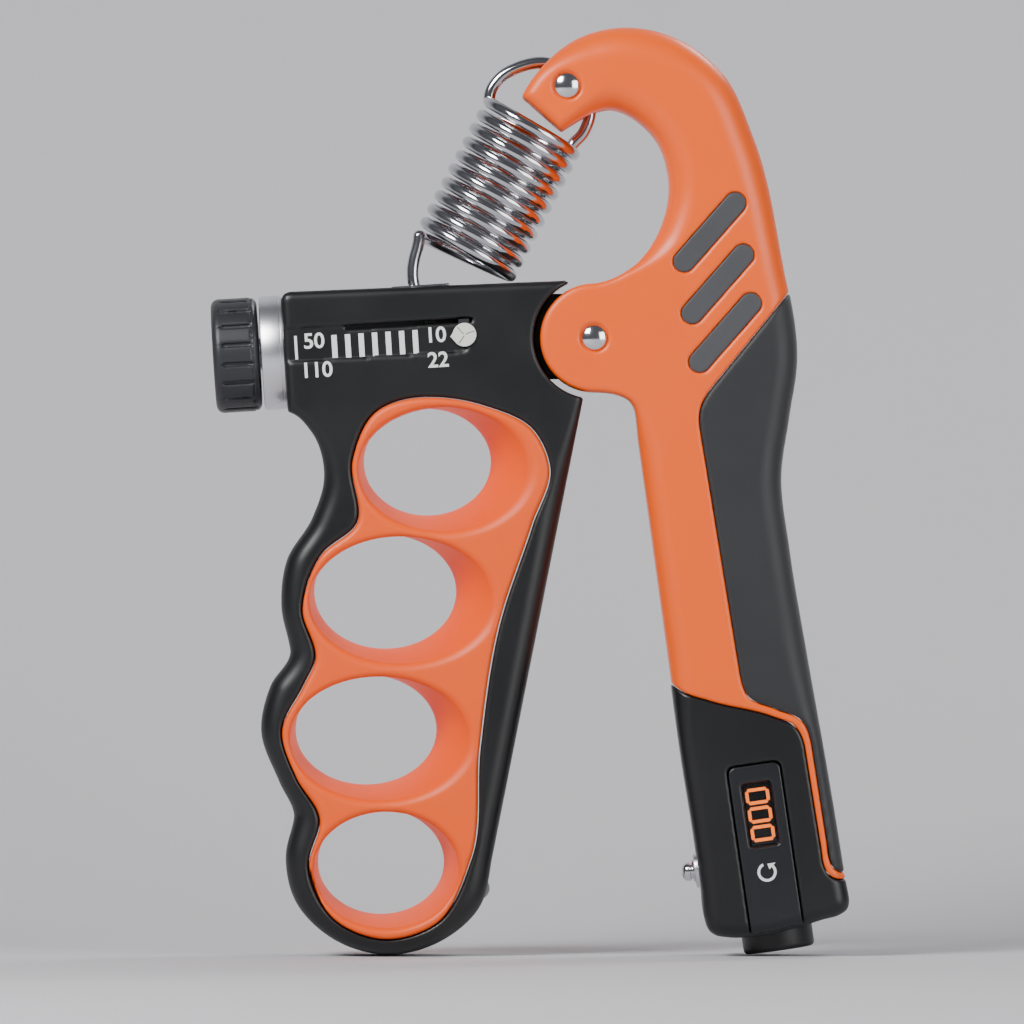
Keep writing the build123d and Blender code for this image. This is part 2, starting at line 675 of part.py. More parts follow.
with BuildPart() as scale_marks:
    with BuildSketch(screw_plane(-FINGER_HALF + SCALE_DEPTH)):
        for tick in range(TICKS):
            with Locations((-19.7 + tick * TICK_PITCH, 0.35)):
                Rectangle(*TICK_SIZE)
        with Locations((-26.9, 0.6)):
            Rectangle(0.5, 4.4)
    extrude(amount=0.1)
keep(scale_marks, "scale_marks")

# ======================= spring =======================
def toward(start, end):
    """Unit direction in the side view, as X and Z."""
    length = hypot(end[0] - start[0], end[1] - start[1])
    return ((end[0] - start[0]) / length, (end[1] - start[1]) / length)


COIL_LENGTH = hypot(COIL_END[0] - COIL_TOP[0], COIL_END[1] - COIL_TOP[1])
COIL_DIR = toward(COIL_TOP, COIL_END)
coil_plane = Plane(origin=(COIL_TOP[0], 0, COIL_TOP[1]), x_dir=(0, 1, 0), z_dir=(COIL_DIR[0], 0, COIL_DIR[1]))

# The coil is one wire; it is kept as short lengths, so that it can stretch evenly.
for piece in range(COIL_PIECES):
    with BuildPart() as spring_coil:
        with BuildSketch(coil_plane.offset(piece * COIL_LENGTH / COIL_PIECES)):
            Circle(COIL_R + WIRE_R)
            Circle(COIL_R - WIRE_R, mode=Mode.SUBTRACT)
        extrude(amount=COIL_LENGTH / COIL_PIECES)
    keep(spring_coil, f"spring_coil_{piece + 1}")


def eye(centre, radius, from_deg, arc_deg):
    """Part of a wire ring that lies in the mid plane."""
    start = radians(from_deg)
    place = (centre[0] + radius * cos(start), 0, centre[1] + radius * sin(start))
    with BuildPart() as ring:
        with BuildSketch(Plane(origin=place, x_dir=(0, 1, 0), z_dir=(-sin(start), 0, cos(start)))):
            Circle(WIRE_R)
        revolve(axis=Axis((centre[0], 0, centre[1]), (0, -1, 0)), revolution_arc=arc_deg)
    return ring


spring_top_eye = eye(TOP_EYE, COIL_R, -44.0, 213.0)
keep(spring_top_eye, "spring_top_eye")
spring_lower_eye = eye(LOWER_EYE, LOWER_EYE_R, 165.0, 160.0)
keep(spring_lower_eye, "spring_lower_eye")

# ======================= counter =======================
LCD_T = 2.0
LENS_T = 1.0
BOARD = (8.4, 24.0)
BOARD_T = 1.0
BOARD_Y = -GRIP_HALF + PANEL_T + LCD_T
BAY_DEPTH = 6.5
FLANGE_R = 7.2
FLANGE_T = 1.2
BUTTON_BORE = BUTTON_R + 0.1
DOOR_R = 7.5
DOOR_T = 1.4
CELL_RISE = 4.0
BUTTON_TOP = BUTTON_FOOT - BUTTON_LENGTH
SWITCH = (6.0, 3.6)
SWITCH_BAY = (6.2, 6.4)
SWITCH_SHIFT = -3.5  # to the left of the button
SWITCH_FOOT = BUTTON_TOP - BUTTON_TRAVEL - 0.3
GUIDE_R = 2.9
GUIDE_LENGTH = 4.6
GUIDE_FLANGE_R = 3.3
GUIDE_FLANGE_T = 0.4
SPRING_BAY = 5.4
PLUNGER_SHOULDER_R = 2.75
PLUNGER_SHOULDER_T = 1.0

with BuildPart() as counter_housing:
    with BuildSketch(side()):
        add(housing_outline.sketch)
    extrude(amount=GRIP_HALF, both=True)
    with BuildSketch(counter_plane(-GRIP_HALF)):
        RectangleRounded(PANEL[0], PANEL[1], 1.6)
        with Locations((0, -PANEL[1] / 2)):
            Rectangle(PANEL[0], PANEL_TAIL)
    extrude(amount=-PANEL_T, mode=Mode.SUBTRACT)
    with BuildSketch(counter_plane(-GRIP_HALF)):
        with Locations((0, 1.0)):
            Rectangle(BOARD[0] + 0.4, BOARD[1] + 0.4)
    extrude(amount=-BAY_DEPTH, mode=Mode.SUBTRACT)
    with BuildSketch(below_counter(SWITCH_FOOT - SWITCH[1] - 0.2)):
        with Locations((SWITCH_SHIFT, 0)):
            Rectangle(*SWITCH_BAY)
    extrude(amount=SWITCH[1] + 0.8, mode=Mode.SUBTRACT)
    with BuildSketch(below_counter(BUTTON_TOP - BUTTON_TRAVEL)):
        Circle(FLANGE_R + 0.3)
    extrude(amount=FLANGE_T + BUTTON_TRAVEL + 0.05, mode=Mode.SUBTRACT)
    with BuildSketch(below_counter(BUTTON_TOP)):
        Circle(BUTTON_BORE)
    extrude(amount=BUTTON_LENGTH, mode=Mode.SUBTRACT)
    with BuildSketch(counter_plane(GRIP_HALF)):
        with Locations((0, CELL_RISE)):
            Circle(DOOR_R)
    extrude(amount=DOOR_T, mode=Mode.SUBTRACT)
    with BuildSketch(counter_plane(GRIP_HALF)):
        with Locations((0, CELL_RISE)):
            Circle(CELL_R + 0.3)
    extrude(amount=DOOR_T + CELL_T + 0.8, mode=Mode.SUBTRACT)
    with BuildSketch(across_counter(-PLUNGER_WALL - 1.0, -PLUNGER_DROP)):
        Circle(GUIDE_R)
    extrude(amount=GUIDE_LENGTH + 1.0 + SPRING_BAY, mode=Mode.SUBTRACT)
    with BuildSketch(across_counter(-PLUNGER_WALL, -PLUNGER_DROP)):
        Circle(GUIDE_FLANGE_R + 0.1)
    extrude(amount=-2.0, mode=Mode.SUBTRACT)
keep(counter_housing, "counter_housing")

with BuildPart() as counter_panel:
    with BuildSketch(counter_plane(-GRIP_HALF + PANEL_T)):
        RectangleRounded(PANEL[0] - 2 * PANEL_GAP, PANEL[1] - 2 * PANEL_GAP, 1.5)
        with Locations((0, -PANEL[1] / 2)):
            Rectangle(PANEL[0] - 2 * PANEL_GAP, PANEL_TAIL)
        with Locations((0, WINDOW_RISE)):
            Rectangle(*WINDOW, mode=Mode.SUBTRACT)
    extrude(amount=PANEL_T)
    with BuildSketch(side()):
        add(housing_outline.sketch)
    extrude(amount=GRIP_HALF, mode=Mode.INTERSECT)
    with BuildSketch(below_counter(BUTTON_TOP)):
        Circle(BUTTON_BORE)
    extrude(amount=BUTTON_LENGTH, mode=Mode.SUBTRACT)
keep(counter_panel, "counter_panel")

with BuildPart() as display_lens:
    with BuildSketch(counter_plane(-GRIP_HALF + PANEL_T)):
        with Locations((0, WINDOW_RISE)):
            Rectangle(WINDOW[0] - 0.1, WINDOW[1] - 0.1)
    extrude(amount=LENS_T)
keep(display_lens, "display_lens")

with BuildPart() as counter_display:
    with BuildSketch(counter_plane(BOARD_Y)):
        with Locations((0, WINDOW_RISE)):
            Rectangle(WINDOW[0] + 2.0, WINDOW[1] + 1.6)
    extrude(amount=LCD_T)
keep(counter_display, "counter_display")

with BuildPart() as counter_board:
    with BuildSketch(counter_plane(BOARD_Y + BOARD_T)):
        with Locations((0, 1.0)):
            Rectangle(*BOARD)
    extrude(amount=BOARD_T)
keep(counter_board, "counter_board")

with BuildPart() as reset_switch:
    with BuildSketch(below_counter(SWITCH_FOOT - SWITCH[1])):
        with Locations((-3.5, 0)):
            Rectangle(5.8, SWITCH[0])
    extrude(amount=SWITCH[1] - 0.4)
    with BuildSketch(below_counter(SWITCH_FOOT - 0.4)):
        with Locations((-3.5, 0)):
            Circle(1.6)
    extrude(amount=0.4)
keep(reset_switch, "reset_switch")

with BuildPart() as reset_button:
    with BuildSketch(below_counter(BUTTON_TOP)):
        Circle(BUTTON_R)
    extrude(amount=BUTTON_LENGTH)
    foot = reset_button.edges().filter_by(GeomType.CIRCLE).sort_by(Axis.Z)[0]
    fillet(foot, 0.5)
    with BuildSketch(below_counter(BUTTON_TOP)):
        Circle(FLANGE_R)
    extrude(amount=FLANGE_T)
keep(reset_button, "reset_button")

with BuildPart() as button_cell:
    with BuildSketch(counter_plane(GRIP_HALF - DOOR_T - 0.1)):
        with Locations((0, CELL_RISE)):
            Circle(CELL_R)
    extrude(amount=CELL_T)
keep(button_cell, "button_cell")

with BuildPart() as cell_contact:
    with BuildSketch(counter_plane(GRIP_HALF - DOOR_T - 0.1 - CELL_T)):
        with Locations((0, CELL_RISE)):
            Circle(3.5)
    extrude(amount=0.4)
keep(cell_contact, "cell_contact")

with BuildPart() as battery_door:
    with BuildSketch(counter_plane(GRIP_HALF)):
        with Locations((0, CELL_RISE)):
            Circle(DOOR_R - 0.1)
    extrude(amount=DOOR_T)
    with BuildSketch(counter_plane(GRIP_HALF)):
        with Locations((0, CELL_RISE)):
            Rectangle(9.0, 1.6)
    extrude(amount=0.7, mode=Mode.SUBTRACT)
keep(battery_door, "battery_door")

with BuildPart() as plunger_guide:
    with BuildSketch(across_counter(-PLUNGER_WALL, -PLUNGER_DROP)):
        Circle(GUIDE_R)
        Circle(PLUNGER_R + RUNNING_FIT, mode=Mode.SUBTRACT)
    extrude(amount=GUIDE_LENGTH)
    with BuildSketch(across_counter(-PLUNGER_WALL - GUIDE_FLANGE_T, -PLUNGER_DROP)):
        Circle(GUIDE_FLANGE_R)
        Circle(PLUNGER_R + RUNNING_FIT, mode=Mode.SUBTRACT)
    extrude(amount=GUIDE_FLANGE_T)
keep(plunger_guide, "plunger_guide")

with BuildPart() as contact_plunger:
    with BuildSketch(across_counter(-PLUNGER_WALL - PLUNGER_OUT, -PLUNGER_DROP)):
        Circle(PLUNGER_R)
    extrude(amount=PLUNGER_OUT + GUIDE_LENGTH)
    tip = contact_plunger.edges().filter_by(GeomType.CIRCLE).sort_by(Axis.X)[0]
    fillet(tip, PLUNGER_R * 0.9)
    with BuildSketch(across_counter(-PLUNGER_WALL + GUIDE_LENGTH, -PLUNGER_DROP)):
        Circle(PLUNGER_SHOULDER_R)
    extrude(amount=PLUNGER_SHOULDER_T)
keep(contact_plunger, "contact_plunger")

with BuildPart() as plunger_spring:
    with BuildSketch(across_counter(-PLUNGER_WALL + GUIDE_LENGTH + PLUNGER_SHOULDER_T, -PLUNGER_DROP)):
        Circle(2.6)
        Circle(1.9, mode=Mode.SUBTRACT)
    extrude(amount=SPRING_BAY - PLUNGER_SHOULDER_T)
keep(plunger_spring, "plunger_spring")
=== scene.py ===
"""Hand grip strengthener: its visible surfaces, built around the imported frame.

Sizes in the classes are millimetres in the part's own frame (X across the handles, Y to the back,
Z up); every mesh is turned into metres when it becomes a Blender object.
"""

import logging
import math
from dataclasses import dataclass, field
from enum import Enum
from typing import Callable, Dict, List, Optional, Sequence, Tuple

import bpy
import numpy as np
from mathutils import Matrix, Vector

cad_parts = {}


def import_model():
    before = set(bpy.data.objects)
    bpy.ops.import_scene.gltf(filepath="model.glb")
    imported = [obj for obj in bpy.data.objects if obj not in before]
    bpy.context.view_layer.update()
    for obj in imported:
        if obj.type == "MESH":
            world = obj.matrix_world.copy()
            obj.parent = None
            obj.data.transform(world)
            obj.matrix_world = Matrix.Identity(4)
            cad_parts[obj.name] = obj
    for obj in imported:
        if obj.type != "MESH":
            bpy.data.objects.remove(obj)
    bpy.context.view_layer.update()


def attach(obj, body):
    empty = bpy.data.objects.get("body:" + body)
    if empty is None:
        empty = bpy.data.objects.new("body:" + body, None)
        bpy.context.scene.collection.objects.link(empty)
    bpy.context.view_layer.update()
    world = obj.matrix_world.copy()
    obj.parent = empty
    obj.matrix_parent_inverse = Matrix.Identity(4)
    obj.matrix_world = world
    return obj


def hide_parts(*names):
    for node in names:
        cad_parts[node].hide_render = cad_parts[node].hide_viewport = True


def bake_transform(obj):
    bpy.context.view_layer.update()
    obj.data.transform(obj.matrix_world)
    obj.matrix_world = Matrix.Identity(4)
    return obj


LOG = logging.getLogger("gripper")
MM = 0.001
Point = Tuple[float, float]
Array = np.ndarray
Field = Callable[[Array, Array, Array], Array]


# =============================== outlines and solids ===============================
def smooth(points: Sequence[Point], start: Optional[Point] = None, end: Optional[Point] = None,
           step: float = 0.5) -> List[Point]:
    """Smooth line through points, as a cubic through each pair.

    Args:
        points: places in the side view, X and Z.
        start: direction at the first point, or None for a free end.
        end: direction at the last point, or None for a free end.
        step: distance between the samples.

    Returns:
        The samples, from the first point up to but not including the last.
    """
    p = np.array(points, float)
    chord = np.linalg.norm(np.diff(p, axis=0), axis=1)
    slopes = np.diff(p, axis=0) / chord[:, None]
    tangent = np.empty_like(p)
    weight = chord[1:] / (chord[:-1] + chord[1:])
    tangent[1:-1] = slopes[:-1] * weight[:, None] + slopes[1:] * (1 - weight[:, None])
    tangent[0] = slopes[0] * 1.5 - tangent[1] * 0.5 if start is None else unit(start)
    tangent[-1] = slopes[-1] * 1.5 - tangent[-2] * 0.5 if end is None else unit(end)
    line: List[Point] = []
    for i, length in enumerate(chord):
        t = np.linspace(0, 1, max(2, int(length / step)) + 1)[:-1, None]
        h00, h10 = 2 * t**3 - 3 * t**2 + 1, t**3 - 2 * t**2 + t
        h01, h11 = -2 * t**3 + 3 * t**2, t**3 - t**2
        at = h00 * p[i] + h10 * length * tangent[i] + h01 * p[i + 1] + h11 * length * tangent[i + 1]
        line += [tuple(q) for q in at]
    return line


def unit(direction: Sequence[float]) -> Array:
    """The direction with a length of one."""
    d = np.array(direction, float)
    return d / np.linalg.norm(d)


def arc(centre: Point, radius: float, start_deg: float, end_deg: float, steps: int = 48) -> List[Point]:
    """Samples of a circle's arc in the side view, both ends included."""
    turn = np.radians(np.linspace(start_deg, end_deg, steps))
    return [(centre[0] + radius * math.cos(a), centre[1] + radius * math.sin(a)) for a in turn]


class Outline:
    """Signed distance to a closed line in the side view: negative inside, in millimetres."""

    def __init__(self, line: Sequence[Point], step: float = 0.3, margin: float = 4.0) -> None:
        """Measure the distance on a fine grid.

        Args:
            line: corners of the closed line, in order.
            step: grid spacing.
            margin: how far past the line the grid goes.
        """
        p = np.array(line, np.float32)
        self.low = p.min(0) - margin
        self.step = step
        count = np.ceil((p.max(0) + margin - self.low) / step).astype(int) + 1
        x = self.low[0] + step * np.arange(count[0], dtype=np.float32)[:, None]
        z = self.low[1] + step * np.arange(count[1], dtype=np.float32)[None, :]
        near = np.full((count[0], count[1]), 1e9, np.float32)
        inside = np.zeros(near.shape, bool)
        for a, b in zip(p, np.roll(p, -1, axis=0)):
            ex, ez = b - a
            length2 = ex * ex + ez * ez
            if length2 < 1e-12:
                continue
            t = np.clip(((x - a[0]) * ex + (z - a[1]) * ez) / length2, 0, 1)
            near = np.minimum(near, (x - a[0] - t * ex) ** 2 + (z - a[1] - t * ez) ** 2)
            if ez != 0:
                rows = ((a[1] > z) != (b[1] > z))[0]
                cross = a[0] + (z[:, rows] - a[1]) / ez * ex
                inside[:, rows] ^= x < cross
        self.grid = np.where(inside, -1, 1) * np.sqrt(near)

    def at(self, x: Array, z: Array) -> Array:
        """Distance at places of the side view; outside the grid, that of its nearest edge and more."""
        u = (x - self.low[0]) / self.step
        v = (z - self.low[1]) / self.step
        uc = np.clip(u, 0, self.grid.shape[0] - 1.001)
        vc = np.clip(v, 0, self.grid.shape[1] - 1.001)
        i, j = uc.astype(int), vc.astype(int)
        fu, fv = uc - i, vc - j
        g = self.grid
        low = g[i, j] * (1 - fu) + g[i + 1, j] * fu
        high = g[i, j + 1] * (1 - fu) + g[i + 1, j + 1] * fu
        return low * (1 - fv) + high * fv + np.hypot(u - uc, v - vc) * self.step


def meet(a: Array, b: Array, radius: Array) -> Array:
    """What two solids share, with the edge between them rounded to a radius."""
    u, v = a + radius, b + radius
    return np.minimum(np.maximum(u, v), 0) + np.hypot(np.maximum(u, 0), np.maximum(v, 0)) - radius


def cut(a: Array, b: Array, radius: Array) -> Array:
    """The first solid without the second, with the new edge rounded."""
    return meet(a, -b, radius)


def join(a: Array, b: Array, radius: float) -> Array:
    """Both solids, with a hollow fillet between them."""
    return -meet(-a, -b, radius)


def ease(value: Array, low: float, high: float) -> Array:
    """Smooth step from 0 at low to 1 at high."""
    t = np.clip((value - low) / (high - low), 0, 1)
    return t * t * (3 - 2 * t)


def ellipse(x: Array, z: Array, half_x: Array, half_z: Array) -> Array:
    """Near distance to an ellipse about the origin."""
    k0 = np.hypot(x / half_x, z / half_z)
    k1 = np.hypot(x / half_x**2, z / half_z**2)
    return k0 * (k0 - 1) / np.maximum(k1, 1e-6)


def slab(u: Array, v: Array, left: float, right: float, low: float, high: float) -> Array:
    """Distance to an upright-sided rectangle in the plane of u and v."""
    du = np.abs(u - (left + right) / 2) - (right - left) / 2
    dv = np.abs(v - (low + high) / 2) - (high - low) / 2
    return np.minimum(np.maximum(du, dv), 0) + np.hypot(np.maximum(du, 0), np.maximum(dv, 0))


def skin(shape: Field, low: Sequence[float], high: Sequence[float], cell: float) -> Tuple[Array, Array]:
    """Closed mesh of the surface where a solid's distance is zero.

    Args:
        shape: the solid's distance at X, Y and Z.
        low: lowest corner of the box to search.
        high: highest corner.
        cell: spacing of the search grid.

    Returns:
        Vertices in millimetres, and quads as vertex numbers.
    """
    count = [int(math.ceil((b - a) / cell)) + 1 for a, b in zip(low, high)]
    axes = [a + cell * np.arange(n) for a, n in zip(low, count)]
    value = shape(axes[0][:, None, None], axes[1][None, :, None], axes[2][None, None, :])
    value = np.broadcast_to(value, count)
    solid = value < 0
    corners = [(i, j, k) for i in (0, 1) for j in (0, 1) for k in (0, 1)]
    cells = tuple(n - 1 for n in count)
    window = {c: tuple(slice(o, o + n) for o, n in zip(c, cells)) for c in corners}
    filled = sum(solid[window[c]].astype(np.int8) for c in corners)
    mixed = (filled > 0) & (filled < 8)
    place = np.argwhere(mixed)
    number = np.full(cells, -1, np.int64)
    number[mixed] = np.arange(len(place))
    total = np.zeros((len(place), 3))
    crossings = np.zeros(len(place))
    for a in corners:
        for axis in range(3):
            if a[axis]:
                continue
            b = tuple(1 if n == axis else c for n, c in enumerate(a))
            va = value[tuple((place + a).T)]
            vb = value[tuple((place + b).T)]
            crossed = (va < 0) != (vb < 0)
            t = np.where(crossed, va / np.where(crossed, va - vb, 1), 0)
            spot = np.array(a, float)[None, :] + np.eye(3)[axis][None, :] * t[:, None]
            total += spot * crossed[:, None]
            crossings += crossed
    vertices = np.array(low) + cell * (place + total / crossings[:, None])
    quads = []
    for axis in range(3):
        one, two = (axis + 1) % 3, (axis + 2) % 3
        here = [slice(1, -1)] * 3
        here[axis] = slice(0, -1)
        there = list(here)
        there[axis] = slice(1, None)
        flips = solid[tuple(here)] != solid[tuple(there)]
        edge = np.argwhere(flips) + [0 if n == axis else 1 for n in range(3)]
        outward = solid[tuple(edge.T)]
        ring = []
        for step_one, step_two in ((0, 0), (1, 0), (1, 1), (0, 1)):
            back = edge.copy()
            back[:, one] -= 1 - step_one
            back[:, two] -= 1 - step_two
            ring.append(number[tuple(back.T)])
        ring = np.stack(ring, 1)
        ring[~outward] = ring[~outward][:, ::-1]
        quads.append(ring)
    return settle(shape, vertices, cell), np.concatenate(quads)


def settle(shape: Field, vertices: Array, cell: float) -> Array:
    """Move vertices onto the surface along its slope, by no more than a part of a cell."""
    start = vertices.copy()
    nudge = cell * 0.08
    for _ in range(3):
        x, y, z = vertices.T
        here = shape(x, y, z)
        slope = np.stack([
            shape(x + nudge, y, z) - shape(x - nudge, y, z),
            shape(x, y + nudge, z) - shape(x, y - nudge, z),
            shape(x, y, z + nudge) - shape(x, y, z - nudge),
        ], 1) / (2 * nudge)
        size = np.maximum((slope**2).sum(1), 0.25)
        vertices = vertices - slope * (here / size)[:, None]
        drift = vertices - start
        reach = np.linalg.norm(drift, axis=1, keepdims=True)
        vertices = start + drift * np.minimum(1, 0.6 * cell / np.maximum(reach, 1e-9))
    return vertices


def make_object(name: str, vertices: Array, faces: Sequence[Sequence[int]],
                rounded: bool = True) -> bpy.types.Object:
    """Blender object of a mesh given in millimetres."""
    mesh = bpy.data.meshes.new(name)
    mesh.from_pydata((np.asarray(vertices) * MM).tolist(), [], np.asarray(faces).tolist()
                     if isinstance(faces, np.ndarray) else faces)
    mesh.update()
    if rounded:
        mesh.shade_smooth()
    piece = bpy.data.objects.new(name, mesh)
    bpy.context.scene.collection.objects.link(piece)
    return piece


def lathe(name: str, profile: Sequence[Point], origin: Sequence[float], axis: Sequence[float],
          steps: int = 96) -> bpy.types.Object:
    """Turned piece.

    Args:
        name: object name.
        profile: distance along the axis and radius, from one end to the other.
        origin: place on the axis where the distance is zero.
        axis: direction of the axis.
        steps: sides of the circle.

    Returns:
        The new object, closed at both ends.
    """
    along = unit(axis)
    side = unit(np.cross(along, (0.0, 1.0, 0.0) if abs(along[1]) < 0.9 else (1.0, 0.0, 0.0)))
    up = np.cross(along, side)
    turn = np.linspace(0, 2 * math.pi, steps, endpoint=False)
    rings = [np.array(origin) + along * s + r * (np.outer(np.cos(turn), side) + np.outer(np.sin(turn), up))
             for s, r in profile]
    vertices = np.concatenate(rings)
    faces: List[List[int]] = []
    for k in range(len(profile) - 1):
        for i in range(steps):
            j = (i + 1) % steps
            faces.append([k * steps + i, k * steps + j, (k + 1) * steps + j, (k + 1) * steps + i])
    faces.append(list(range(steps))[::-1])
    faces.append([(len(profile) - 1) * steps + i for i in range(steps)])
    piece = make_object(name, vertices, faces)
    sharpen(piece, 35)
    return piece


def sharpen(piece: bpy.types.Object, degrees: float) -> None:
    """Keep edges crisp where the faces turn by more than an angle."""
    piece.data.set_sharp_from_angle(angle=math.radians(degrees))


def wire(name: str, line: Array, radius: float, sides: int = 20) -> bpy.types.Object:
    """Round wire along a line in space, with domed ends.

    Args:
        name: object name.
        line: places along the middle of the wire, in millimetres.
        radius: wire radius.
        sides: sides of its section.

    Returns:
        The new object.
    """
    way = np.gradient(line, axis=0)
    way /= np.linalg.norm(way, axis=1)[:, None]
    side = np.cross(way[0], (0.3, 0.9, 0.2))
    turn = np.linspace(0, 2 * math.pi, sides, endpoint=False)
    rings = []
    for place, forward in zip(line, way):
        side = unit(side - forward * side.dot(forward))
        across = np.cross(forward, side)
        rings.append((place, forward, side, across))
    caps = [(-0.98, 0.2), (-0.8, 0.6), (-0.35, 0.94)]
    loops = [(rings[0], s, r) for s, r in caps] + [(ring, 0.0, 1.0) for ring in rings]
    loops += [(rings[-1], -s, r) for s, r in caps[::-1]]
    vertices = [p + f * s * radius + radius * r * (np.outer(np.cos(turn), a) + np.outer(np.sin(turn), b))
                for (p, f, a, b), s, r in loops]
    faces = []
    for k in range(len(loops) - 1):
        for i in range(sides):
            j = (i + 1) % sides
            faces.append([k * sides + i, k * sides + j, (k + 1) * sides + j, (k + 1) * sides + i])
    faces.append(list(range(sides))[::-1])
    faces.append([(len(loops) - 1) * sides + i for i in range(sides)])
    return make_object(name, np.concatenate(vertices), faces)


@dataclass(frozen=True)
class Place:
    """A turned frame in the side view: u to the right along the tilt, v upwards."""

    x: float
    z: float
    tilt: float

    def local(self, x: Array, z: Array) -> Tuple[Array, Array]:
        """Turn X and Z into u and v."""
        c, s = math.cos(math.radians(self.tilt)), math.sin(math.radians(self.tilt))
        return (x - self.x) * c + (z - self.z) * s, (z - self.z) * c - (x - self.x) * s

    def world(self, u: float, v: float, y: float = 0.0) -> Tuple[float, float, float]:
        """Turn u and v into a place in space."""
        c, s = math.cos(math.radians(self.tilt)), math.sin(math.radians(self.tilt))
        return (self.x + u * c - v * s, y, self.z + u * s + v * c)

    def along(self) -> Tuple[float, float, float]:
        """Direction of u in space."""
        return (math.cos(math.radians(self.tilt)), 0.0, math.sin(math.radians(self.tilt)))

    def up(self) -> Tuple[float, float, float]:
        """Direction of v in space."""
        return (-math.sin(math.radians(self.tilt)), 0.0, math.cos(math.radians(self.tilt)))


# =============================== finishes ===============================
def from_hex(code: str) -> Tuple[float, float, float, float]:
    """Linear colour of an sRGB hex value."""
    parts = [int(code[i:i + 2], 16) / 255 for i in (1, 3, 5)]
    linear = [p / 12.92 if p <= 0.04045 else ((p + 0.055) / 1.055) ** 2.4 for p in parts]
    return (linear[0], linear[1], linear[2], 1.0)


def add_node(tree: bpy.types.NodeTree, kind: str, values: Optional[Dict[str, object]] = None,
             links: Optional[Dict[str, bpy.types.NodeSocket]] = None, **settings: object) -> bpy.types.Node:
    """Add a shader node.

    Args:
        tree: the material's node tree.
        kind: node type.
        values: socket values by input name.
        links: sockets to connect, by input name.
        settings: properties of the node itself.

    Returns:
        The new node.
    """
    new = tree.nodes.new(kind)
    for key, value in settings.items():
        setattr(new, key, value)
    for key, value in (values or {}).items():
        new.inputs[key].default_value = value
    for key, socket in (links or {}).items():
        tree.links.new(socket, new.inputs[key])
    return new


class Grain(Enum):
    """How a surface's small relief was made."""

    MOULDED = "moulded"
    TURNED = "turned"
    DRAWN = "drawn"
    PLAIN = "plain"


@dataclass(frozen=True)
class Finish:
    """A surface of one real material, with its colour, gloss and small relief.

    Sizes are millimetres: grain_mm is the spacing of the relief and depth_mm its height.
    """

    name: str
    colour: str
    worn: str
    roughness: float
    spread: float = 0.05
    metallic: float = 0.0
    ior: float = 1.5
    grain: Grain = Grain.MOULDED
    grain_mm: float = 0.35
    depth_mm: float = 0.01
    sheen: float = 0.0
    coat: float = 0.0
    subsurface: float = 0.0
    glow: float = 0.0
    clear: float = 0.0
    patch_mm: float = 18.0
    axis: Tuple[float, float, float] = (0.0, 0.0, 0.0)

    def material(self) -> bpy.types.Material:
        """Build the node material once and give it back.

        Returns:
            The material, shared by every piece with this finish.
        """
        known = bpy.data.materials.get(self.name)
        if known:
            return known
        made = bpy.data.materials.new(self.name)
        made.use_nodes = True
        tree = made.node_tree
        tree.nodes.clear()
        where = add_node(tree, "ShaderNodeTexCoord").outputs["Object"]
        patches = add_node(tree, "ShaderNodeTexNoise", {"Scale": 1 / (self.patch_mm * MM), "Detail": 3.0},
                           {"Vector": where})
        tint = add_node(tree, "ShaderNodeMix", {"A": from_hex(self.colour), "B": from_hex(self.worn)},
                        {"Factor": patches.outputs["Fac"]}, data_type="RGBA")
        gloss = add_node(tree, "ShaderNodeMapRange",
                         {"From Min": 0.3, "From Max": 0.7, "To Min": max(0.02, self.roughness - self.spread),
                          "To Max": self.roughness + self.spread}, {"Value": patches.outputs["Fac"]})
        values = {"Metallic": self.metallic, "IOR": self.ior, "Sheen Weight": self.sheen,
                  "Coat Weight": self.coat, "Transmission Weight": self.clear}
        if self.sheen:
            values["Sheen Roughness"] = 0.5
        if self.subsurface:
            values["Subsurface Weight"] = self.subsurface
            values["Subsurface Radius"] = (0.0012, 0.0005, 0.0002)
        if self.glow:
            values["Emission Color"] = from_hex(self.colour)
            values["Emission Strength"] = self.glow
        shader = add_node(tree, "ShaderNodeBsdfPrincipled", values,
                          {"Base Color": tint.outputs["Result"], "Roughness": gloss.outputs["Result"]})
        relief = self.relief(tree, where)
        if relief is not None:
            bump = add_node(tree, "ShaderNodeBump", {"Strength": 1.0, "Distance": self.depth_mm * MM},
                            {"Height": relief})
            tree.links.new(bump.outputs["Normal"], shader.inputs["Normal"])
        add_node(tree, "ShaderNodeOutputMaterial", links={"Surface": shader.outputs["BSDF"]})
        return made

    def relief(self, tree: bpy.types.NodeTree, where: bpy.types.NodeSocket) -> Optional[bpy.types.NodeSocket]:
        """Height of the small relief over the surface.

        Args:
            tree: the material's node tree.
            where: object coordinates, in metres.

        Returns:
            The height socket, or None for a plain surface.
        """
        if self.grain is Grain.PLAIN:
            return None
        scale = 1 / (self.grain_mm * MM)
        if self.grain is Grain.MOULDED:
            return add_node(tree, "ShaderNodeTexNoise", {"Scale": scale, "Detail": 2.0, "Roughness": 0.6},
                            {"Vector": where}).outputs["Fac"]
        stretch = (1.0, 1.0, 1.0)
        if self.grain is Grain.TURNED:
            stretch = (1.0, 0.02, 0.02)
        if self.grain is Grain.DRAWN:
            stretch = (0.15, 0.15, 0.15)
        mapped = add_node(tree, "ShaderNodeMapping", {"Scale": stretch}, {"Vector": where})
        return add_node(tree, "ShaderNodeTexNoise", {"Scale": scale, "Detail": 4.0, "Roughness": 0.7},
                        {"Vector": mapped.outputs["Vector"]}).outputs["Fac"]


# Glossy moulded ABS: smooth, with the faint orange peel of a polished mould.
ORANGE_ABS = Finish("orange_abs_moulded", "#FF6200", "#FA5C00", 0.40, grain_mm=0.9, depth_mm=0.004)
